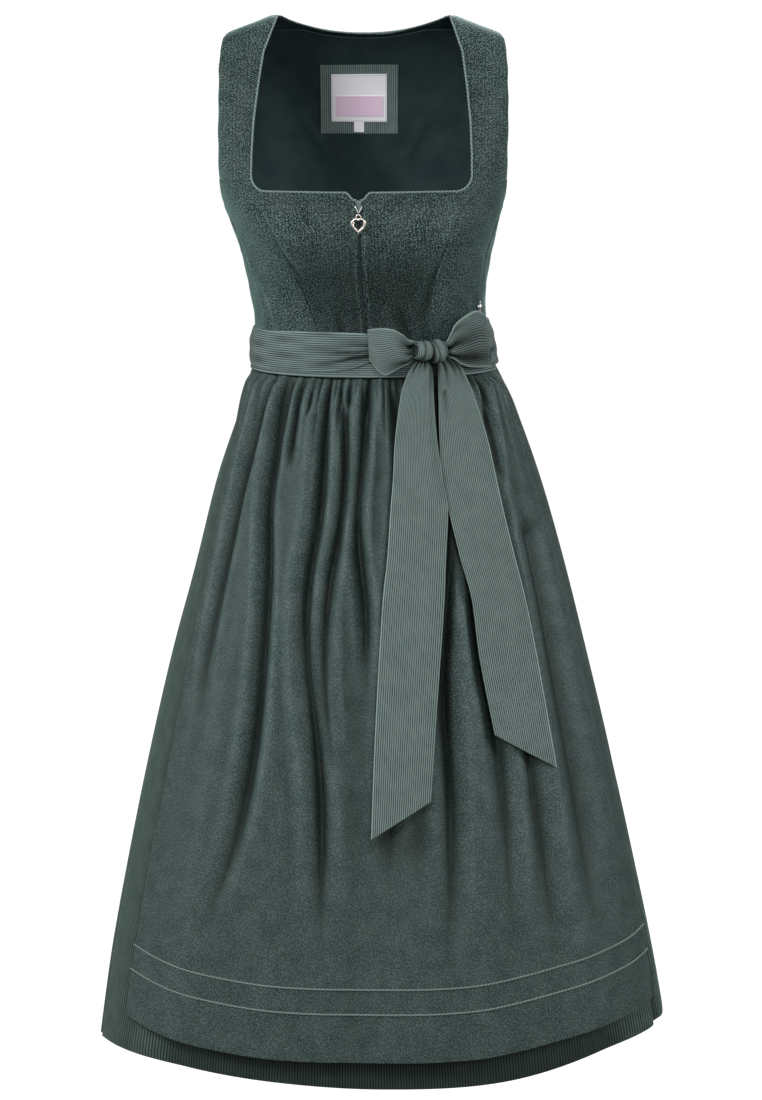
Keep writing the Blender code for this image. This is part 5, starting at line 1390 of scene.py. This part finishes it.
def bow_loop(name, rows, creases, arch, side):
    """Band of the bow from the knot, round its end and back: rows of the table give its two edges and depth.
    It is arched, arch (sin(pi share) - 0.4), and creased, exp(-|aside/width|^1.5), on its front. Painted
    shade darkens it at the knot, on its way back and in its creases, with painted light beside each crease."""
    at = np.linspace(0, 1, 130)[:, None]
    share = np.linspace(0, 1, 48)[None, :]
    top_x, top_z, bottom_x, bottom_z, depth_y = table_curves(rows, LOOP_COLUMNS, at)
    x = bottom_x + (top_x - bottom_x) * share
    z = bottom_z + (top_z - bottom_z) * share
    y = depth_y + 0 * share
    along = np.gradient(x[:, 24]), np.gradient(y[:, 24])
    turn = np.stack([-along[1], along[0]], axis=1) * side / np.hypot(*along)[:, None]
    full = np.sin(math.pi * unit(at / 0.5)) * unit((0.5 - at) / 0.05 + 1)
    reach = arch * full * (np.sin(math.pi * share) - 0.4)
    # painted shade at the knot and on the band's way back
    shade = -0.9 * bell(at, 0.035) - 0.8 * unit((at - 0.58) / 0.06)
    for place, depth, width, run in creases:
        fade = unit(1 - at / run)
        aside = share - place - (0.5 - place) * 0.12 * (1 - fade)
        crease = fade * bell(aside, width * (0.6 + at / run), 1.5)
        reach = reach - depth * crease
        # painted shade in the crease and painted light beside it
        shade = shade - 1.8 * crease + 0.5 * fade * bell(aside - 1.8 * width, width)
    points = np.stack([x + reach * turn[:, None, 0], y + reach * turn[:, None, 1], z], axis=-1)
    across = (share - 0.5) * 0.047 * (1 + 0.12 * np.sin(5 * share + 2)) + 0.016 * np.minimum(at, 0.5) * side
    edge = np.minimum(share, 1 - share) * 0.036 + 0 * at
    return shell(name, points, SASH_WALL, [SASH], (across, None), -side, edge=edge, fold=shade)


KNOT_LOBES = (   # offset along and up; half length, half depth, half height; lean of the ribs; turn
    ((-0.0072, 0.0008), (0.0112, 0.0100, 0.0102), 0.55, -0.25),
    ((0.0074, -0.0008), (0.0100, 0.0112, 0.0116), 0.20, 0.14),
)


def knot():
    """Knot: two rounded lobes of ribbed band, superellipsoids with lengthwise grooves wound round them;
    painted light over the lobes, painted shade between them, at their ends and in the grooves.
    """
    angle = math.radians(KNOT_ANGLE)
    forward = np.array([math.sin(angle), -math.cos(angle), 0])
    sideways = np.array([math.cos(angle), math.sin(angle), 0])
    centre = lay_angle(KNOT_ANGLE, KNOT_Z, KNOT_OUT)
    round_count, long_count = 60, 44
    a = turns(round_count)[:, None]
    b = np.linspace(0.03, math.pi - 0.03, long_count)[None, :]
    parts, uvs, shades = [], [], []
    for (shift, rise), (long, deep, high), lean, turn in KNOT_LOBES:
        wraps = np.abs(np.sin(3.5 * b + 1.6 * lean * np.sin(a)))**8
        ring = np.sin(b)**0.62 * (1 + 0.04 * np.cos(3 * a + 1.0) - 0.10 * wraps)
        along = -np.cos(b) * long + lean * 0.004 * np.sin(a) * np.sin(b)
        height = ring * np.sin(a) * high
        aside = along * math.cos(turn) - height * math.sin(turn) + shift
        up = along * math.sin(turn) + height * math.cos(turn) + rise
        depth = ring * np.cos(a) * deep
        points = centre + aside[..., None] * sideways + depth[..., None] * forward
        points[..., 2] += up
        faces = quads(round_count, long_count, close_rows=True).reshape(-1, 4)[:, ::-1]
        parts.append((points.reshape(-1, 3), faces))
        weave = [1.35 * along + 0.008 * lean * np.sin(a), np.broadcast_to(a * 0.010, along.shape)]
        uvs.append(np.stack(weave, axis=-1).reshape(-1, 2))
        # painted light over the lobes, painted shade between them, at their ends and in the wound grooves
        near = bell(aside, 0.0020) + np.abs(along / long)**8
        shades.append((0.35 - 1.3 * near - 1.0 * wraps).ravel())
    points, faces = joined(parts)
    return make("bow_knot_cloth", points, faces, [SASH], np.concatenate(uvs), np.full(len(points), 0.01),
                fold=np.clip(np.concatenate(shades), -1, 1))


def bow_tail(name, rows, folds, seed, selvage):
    """Tail: a strip between two edges seen from the front, with lengthwise folds that start at the knot, a
    parting beside the other tail and five seeded waves. Painted shade darkens it at the knot, in its folds
    and along the parting."""
    at = np.linspace(0, 1, 170)[:, None]
    share = np.linspace(0, 1, 46)[None, :]
    left_x, left_z, right_x, right_z, table_out = table_curves(rows, TAIL_COLUMNS, at)
    out = table_out + 0 * share
    # painted shade where the tail comes out of the knot
    shade = -0.7 * bell(at, 0.02)
    for place, depth, width, run, start in folds:
        fade = unit(1 - (at - start) / run) * unit((at - start) / 0.03 + 1)
        fold = fade * bell(share - place, width * (0.7 + 1.2 * (at - start)), 1.6)
        out = out - depth * fold
        # painted shade in the fold
        shade = shade - min(1.0, depth / 0.0030) * fold
    from_selvage = share if selvage == "left" else 1 - share
    parting = unit(1 - at / 0.30) * bell(1 - from_selvage, 0.10)
    out = out - 0.0045 * parting
    # painted shade in the parting beside the other tail
    shade = shade - 1.2 * parting
    rng = np.random.default_rng(seed)
    for _ in range(5):
        level, size, turn = rng.uniform(0.2, 0.95), rng.uniform(0.05, 0.1), rng.uniform(-0.3, 0.3)
        out = out + rng.uniform(-0.0008, 0.0008) * bell(at + turn * share - level, size)
    points = seen_at(left_x + (right_x - left_x) * share, left_z + (right_z - left_z) * share,
                     np.maximum(out, table_out - 0.006))
    return shell(name, points, SASH_WALL, [SASH], ((share - 0.5) * TAIL_WIDTH, None), -1,
                 edge=from_selvage * TAIL_WIDTH + 0 * at, fold=shade)


# ---- zip, pull and button ---------------------------------------------------------------------

def zip_tape():
    """Tape behind the zip's gap: a strip that follows the bodice's front, just inside its wall."""
    z = np.linspace(WAIST_Z, NECK_BOTTOM_Z - NOTCH_DEPTH - 0.0004, 90)[:, None]
    x, z = np.broadcast_arrays(np.linspace(-TAPE_HALF_WIDTH, TAPE_HALF_WIDTH, 13)[None, :], z)
    x, y = by_width(x, z)
    points = lay_front(x, y, z, -BODICE_WALL - 0.0004)
    return shell("zip_tape_cloth", points, 0.0007, [TAPE], (x, z), -outward(x, y, z))


def zip_teeth():
    """Two rows of small teeth that mesh down the middle of the tape."""
    z = np.arange(SLIDER_TOP - 0.016, SASH_TOP_Z - 0.004, -TOOTH_PITCH)
    side = np.where(np.arange(len(z)) % 2 == 0, 1.0, -1.0)
    places = lay_front(*by_width(side * 0.00035, z), z, -0.0008)
    axes = np.tile(np.diag([1.0, -1.0, 1.0]), (len(z), 1, 1))
    points, faces = repeated(*bead(0.0019, 0.0009, 0.00062), places, axes)
    return make("zip_teeth", points, faces, [TEETH], sharp=80)


def slider():
    """Slider: a shield-shaped plate that narrows downwards, a superellipse at each level, with two
    rails and a V-shaped bail."""
    pivot_x, pivot_y, pivot_z = PIVOT
    surface_y = pivot_y + 0.0037
    rows, columns = 26, 18
    down = np.linspace(0, 1, rows)[:, None]
    turn = turns(columns)[None, :]
    half = (0.0036 - 0.0022 * down**1.2) * np.sqrt(np.clip(1 - (2 * down - 1)**12, 0.02, 1))
    thick = 0.0010 * np.sqrt(np.clip(1 - (2 * down - 1)**10, 0.02, 1))
    x = half * np.sign(np.cos(turn)) * np.abs(np.cos(turn))**0.5
    y = thick * np.sign(np.sin(turn)) * np.abs(np.sin(turn))**0.5
    points = np.stack([pivot_x + x, surface_y - 0.0013 + y, SLIDER_TOP - 0.0120 * down + 0 * x], axis=-1)
    plate = make("zip_slider_plate", points.reshape(-1, 3),
                 quads(rows, columns, close_columns=True).reshape(-1, 4), [SLIDER], sharp=40)
    parts = []
    for sign in (-1, 1):
        path = [(pivot_x + sign * 0.0031, surface_y - 0.0022, SLIDER_TOP - 0.0058),
                (pivot_x + sign * 0.0026, surface_y - 0.0030, SLIDER_TOP - 0.0075),
                (pivot_x + sign * 0.0014, surface_y - 0.0034, SLIDER_TOP - 0.0103),
                (pivot_x + sign * 0.0002, surface_y - 0.0037, pivot_z + 0.0017)]
        parts.append(tube(even_path(path, 0.0005)[0], 0.00075, 10))
    parts.append(tube(ring_at(PIVOT, 0.0019, (0, 1, 0), (0, 0, 1), 32), 0.00055, 8, (1, 0, 0), closed=True))
    bar = [(pivot_x, surface_y - 0.0010, pivot_z - 0.0004), (pivot_x, pivot_y + 0.0015, pivot_z)]
    parts.append(tube(even_path(bar, 0.0004)[0], 0.0006, 8, (0, 0, 1)))
    bail = make("zip_slider_bail", *joined(parts), [GUNMETAL], sharp=40)
    return plate


def heart_path(width, height, lower, forward):
    """Heart outline: x is the cube of a sine, z a sum of four cosines."""
    turn = turns(72)
    x = np.sin(turn)**3 * width / 2
    z = 13 * np.cos(turn) - 3.2 * np.cos(2 * turn) - 1.2 * np.cos(3 * turn) - 0.6 * np.cos(4 * turn)
    z = (z - z[0]) * height / 26.2
    return np.stack([x, 0 * x + forward, z - 0.0045 - lower], axis=1) + np.array(PIVOT)


def heart_pull():
    """Two nested hearts of round wire, a small lobe on each shoulder, and the ring they hang by."""
    ring = ring_at(np.array(PIVOT) - [0, 0, 0.0023], 0.0023, (0, 0, 1), (1, 0, 0), 36)
    parts = [tube(ring, 0.00072, 10, closed=True),
             tube(heart_path(0.0140, 0.0148, 0.0010, 0.0012), 0.00050, 10, closed=True),
             tube(heart_path(0.0118, 0.0136, 0.0007, -0.0005), 0.00100, 14, closed=True)]
    for sign in (-1, 1):
        lean = np.array([[sign * 0.55, 0, 0.835], [0, -1.0, 0], [0.835, 0, -sign * 0.55]])
        place = np.array([PIVOT]) + [sign * 0.0055, -0.0002, -0.0070]
        parts.append(repeated(*bead(0.0044, 0.0019, 0.0025, 13, 16), place, lean[None]))
    points, faces = joined(parts)
    return make("zip_pull_heart", points, faces, [ROSE_GOLD], sharp=60, body="zip_pull")


BUTTON_PROFILE = np.array([   # radius and height, from the middle of its back to the middle of its dome
    (0.0001, 0.0), (0.0040, 0.0), (0.0050, 0.0003), (0.0052, 0.0008), (0.0050, 0.0013), (0.0044, 0.0014),
    (0.0041, 0.0012), (0.0037, 0.0018), (0.0028, 0.0025), (0.0016, 0.0029), (0.0001, 0.0030),
])


def side_button():
    """Domed button: a profile of radius and height spun round its axis."""
    radius, height = BUTTON_PROFILE[:, :1], BUTTON_PROFILE[:, 1:]
    normal = outward(*by_angle(BUTTON_ANGLE, BUTTON_Z), np.array(BUTTON_Z))
    side = of_length_one(np.cross([0, 0, 1.0], normal))
    axis = lay_angle(BUTTON_ANGLE, BUTTON_Z, 0.0007) + height * normal
    points = rings(axis, np.repeat(radius, 48, axis=1), side[None], np.cross(normal, side)[None])
    faces = quads(len(BUTTON_PROFILE), 48, close_columns=True).reshape(-1, 4)
    return make("side_button_metal", points.reshape(-1, 3), faces, [SILVER], sharp=35)


# ---- assembly ---------------------------------------------------------------------------------

def declare(piece, node):
    """Hides the node of the imported form that a piece replaces; the piece itself is not used."""
    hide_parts(node)


for side, name in ((-1, "right"), (1, "left")):
    declare(bodice_front(side, f"front_{name}_cloth"), f"bodice_front_{name}")
    declare(side_panel(side, f"side_{name}_cloth", PRINCESS, PRINCESS_TOP_Z, True), f"bodice_side_{name}")
    declare(side_panel(side, f"back_side_{name}_cloth", BACK_PRINCESS, BACK_PRINCESS_TOP_Z, False),
            f"bodice_back_side_{name}")
declare(bodice_back(), "bodice_back")
declare(back_lining(), "back_lining")
for node, edges, layer, look, seam, slot, flat, below in (
        ("label_patch", PATCH_EDGES, 0, PATCH, 0.0022, "lining", (0.080, 0.070), "back_lining"),
        ("label", LABEL_EDGES, 1, LABEL, 0.0012, "label_cloth", (0.057, 0.048), "label_patch"),
        ("label_panel", PANEL_EDGES, 2, PANEL, 0, "label_print", (0.048, 0.021), "label"),
        ("size_tab", TAB_EDGES, 1, LABEL, 0, "label_cloth", (0.0101, 0.0101), "label_patch")):
    piece = label(f"{node}_cloth", edges, layer, look, seam)
    declare(piece, node)

declare(skirt_panel("skirt_front_cloth", np.linspace(-89.93, 89.93, 170), 110), "skirt_front")
declare(skirt_panel("skirt_back_cloth", np.linspace(90.07, 269.93, 270), 150), "skirt_back")
declare(apron_panel(), "apron_panel")
for node, rise in (("apron_piping_lower", 0.0465), ("apron_piping_upper", 0.0705)):
    declare(apron_piping(f"{node}_cord", rise), node)

band = around("apron_band_cloth", -88.0, 79.0, 120, level_edge(BAND_BOTTOM_Z), level_edge(BAND_TOP_Z),
              BAND_OUT, 0.0002, 10)
declare(band, "apron_band")
for node, start, stop, columns, bottom, top, flat in (
        ("sash_right", -90.0, 32.0, 150, SASH_RIGHT_BOTTOM, SASH_RIGHT_TOP, (0.25, 0.037)),
        ("sash_left", 34.5, 89.8, 80, SASH_LEFT_BOTTOM, SASH_LEFT_TOP, (0.115, 0.042)),
        ("sash_back", 90.0, 269.8, 190, level_edge(SASH_BOTTOM_Z), SASH_BACK_TOP, (0.345, 0.037))):
    piece = around(f"{node}_band", start, stop, columns, bottom, top, SASH_OUT, SASH_BULGE, 20, sash_relief,
                   SASH_HUG)
    declare(piece, node)

for node, rows, creases, arch, side, flat in (
        ("bow_loop_right", LOOP_RIGHT, RIGHT_LOOP_CREASES, 0.0045, 1, (0.036, 0.10)),
        ("bow_loop_left", LOOP_LEFT, LEFT_LOOP_CREASES, 0.0030, -1, (0.043, 0.135))):
    declare(bow_loop(f"{node}_cloth", rows, creases, arch, side), node)
knot_piece = knot()
declare(knot_piece, "bow_knot")
for node, rows, folds, seed, selvage, flat in (
        ("bow_tail_right", TAIL_RIGHT, RIGHT_TAIL_FOLDS, 4, "left", (0.060, 0.465)),
        ("bow_tail_left", TAIL_LEFT, LEFT_TAIL_FOLDS, 9, "right", (0.060, 0.415))):
    declare(bow_tail(f"{node}_cloth", rows, folds, seed, selvage), node)

declare(neck_cord(), "neck_piping")
declare(zip_tape(), "zip_tape")
zip_teeth()
for sign, name in ((-1, "right"), (1, "left")):
    z = np.linspace(SASH_TOP_Z - 0.002, NECK_BOTTOM_Z - NOTCH_DEPTH, 60)
    x, y = by_width(np.full_like(z, PLACKET), z)
    path = lay_front(sign * x, y, z, front_relief(sign, x, z)[0] + 0.0001)
    stitches(f"placket_stitch_{name}", path, outward(sign * x, y, z))
declare(slider(), "zip_slider")
declare(heart_pull(), "zip_pull")
declare(side_button(), "side_button")
loop_z = np.linspace(BUTTON_Z - 0.0045, SASH_LEFT_TOP_Z + 0.002, 20)
loop_angle = BUTTON_ANGLE + 0.8 * np.sin(np.linspace(0, math.pi, 20))
loop_path = lay_angle(loop_angle, loop_z, 0.0018)
button_way = outward(*by_angle(BUTTON_ANGLE, BUTTON_Z), np.array(BUTTON_Z))
declare(twisted_cord("button_loop_cord", loop_path, button_way, 0.0009, PALE_CORD, pitch=0.002, step=0.0003),
        "button_loop")


# ---- camera, floor and light ------------------------------------------------------------------

CAMERA_PLACE = (0.017, -3.8, 0.10)
CAMERA_TILT = 80.587        # degrees up from straight down
CAMERA_LENS, CAMERA_SENSOR = 126.06, 36.0
FLOOR_Z, FLOOR_RADIUS = -1.42, 40.0
FLOOR_GREY = (0.15, 0.15, 0.15, 1.0)
FLOOR_GLOW = (0.03, 1.0)    # strength for light that meets the floor, and as the camera sees it
SKY_GLOW = (0.19, 1.05)
LIGHTS = (                  # name, place, point it faces, side of its square, power
    ("key_light", (-1.8, -2.5, 1.6), (0, 0, -0.45), 1.1, 82.0),
    ("front_light", (0.5, -4.2, 0.7), (0, 0, -0.2), 1.2, 46.0),
    ("left_light", (-3.2, -0.5, 0.1), (0, 0, -0.45), 1.5, 34.0),
    ("right_light", (3.1, -0.9, 0.5), (0, 0, -0.45), 1.5, 54.0),
    ("back_light", (0.6, 2.6, 1.6), (0, 0, -0.4), 1.6, 60.0),
)


def seen_glow(n, strengths):
    """Strength of a glow: the first value for light, the second where the camera looks at it."""
    seen = n.add("ShaderNodeLightPath").outputs["Is Camera Ray"]
    return n.add("ShaderNodeMapRange", Value=seen, To_Min=strengths[0], To_Max=strengths[1]).outputs[0]


def add_camera():
    """Camera in front of the dress, a little above its neck."""
    data = bpy.data.cameras.new("camera")
    data.lens, data.sensor_width = CAMERA_LENS, CAMERA_SENSOR
    camera = bpy.data.objects.new("camera", data)
    camera.location = CAMERA_PLACE
    camera.rotation_euler = (math.radians(CAMERA_TILT), 0, 0)
    bpy.context.scene.collection.objects.link(camera)
    bpy.context.scene.camera = camera


def add_floor():
    """Wide round floor that looks white and lights the dress only a little."""
    look, n, shader = new_material("pale_floor", roughness=0.9, specular=0.0)
    for socket, value in (("Base Color", FLOOR_GREY), ("Emission Color", WHITE)):
        shader.inputs[socket].default_value = value
    n.feed(shader, "Emission_Strength", seen_glow(n, FLOOR_GLOW))
    place = (0, 0, FLOOR_Z)
    bpy.ops.mesh.primitive_circle_add(vertices=96, radius=FLOOR_RADIUS, fill_type="NGON", location=place)
    floor = bpy.context.object
    floor.name = "pale_floor"
    floor.data.materials.append(look)


def add_world():
    """White surroundings that light the dress softly."""
    world = bpy.data.worlds.new("soft_white")
    world.use_nodes = True
    bpy.context.scene.world = world
    sky = Nodes(world.node_tree)
    glow = world.node_tree.nodes["Background"]
    glow.inputs["Color"].default_value = WHITE
    sky.feed(glow, "Strength", seen_glow(sky, SKY_GLOW))


def area_light(name, place, target, size, power):
    """Square soft light turned to face a point."""
    data = bpy.data.lights.new(name, "AREA")
    data.shape = "SQUARE"
    data.size = size
    data.energy = power
    made = bpy.data.objects.new(name, data)
    made.location = place
    x, y, z = np.array(target, float) - np.array(place, float)
    made.rotation_euler = (math.atan2(math.hypot(x, y), -z), 0, math.atan2(y, x) - math.pi / 2)
    bpy.context.scene.collection.objects.link(made)


add_camera()
add_floor()
add_world()
for light in LIGHTS:
    area_light(*light)
bpy.context.scene.view_settings.view_transform = "Standard"
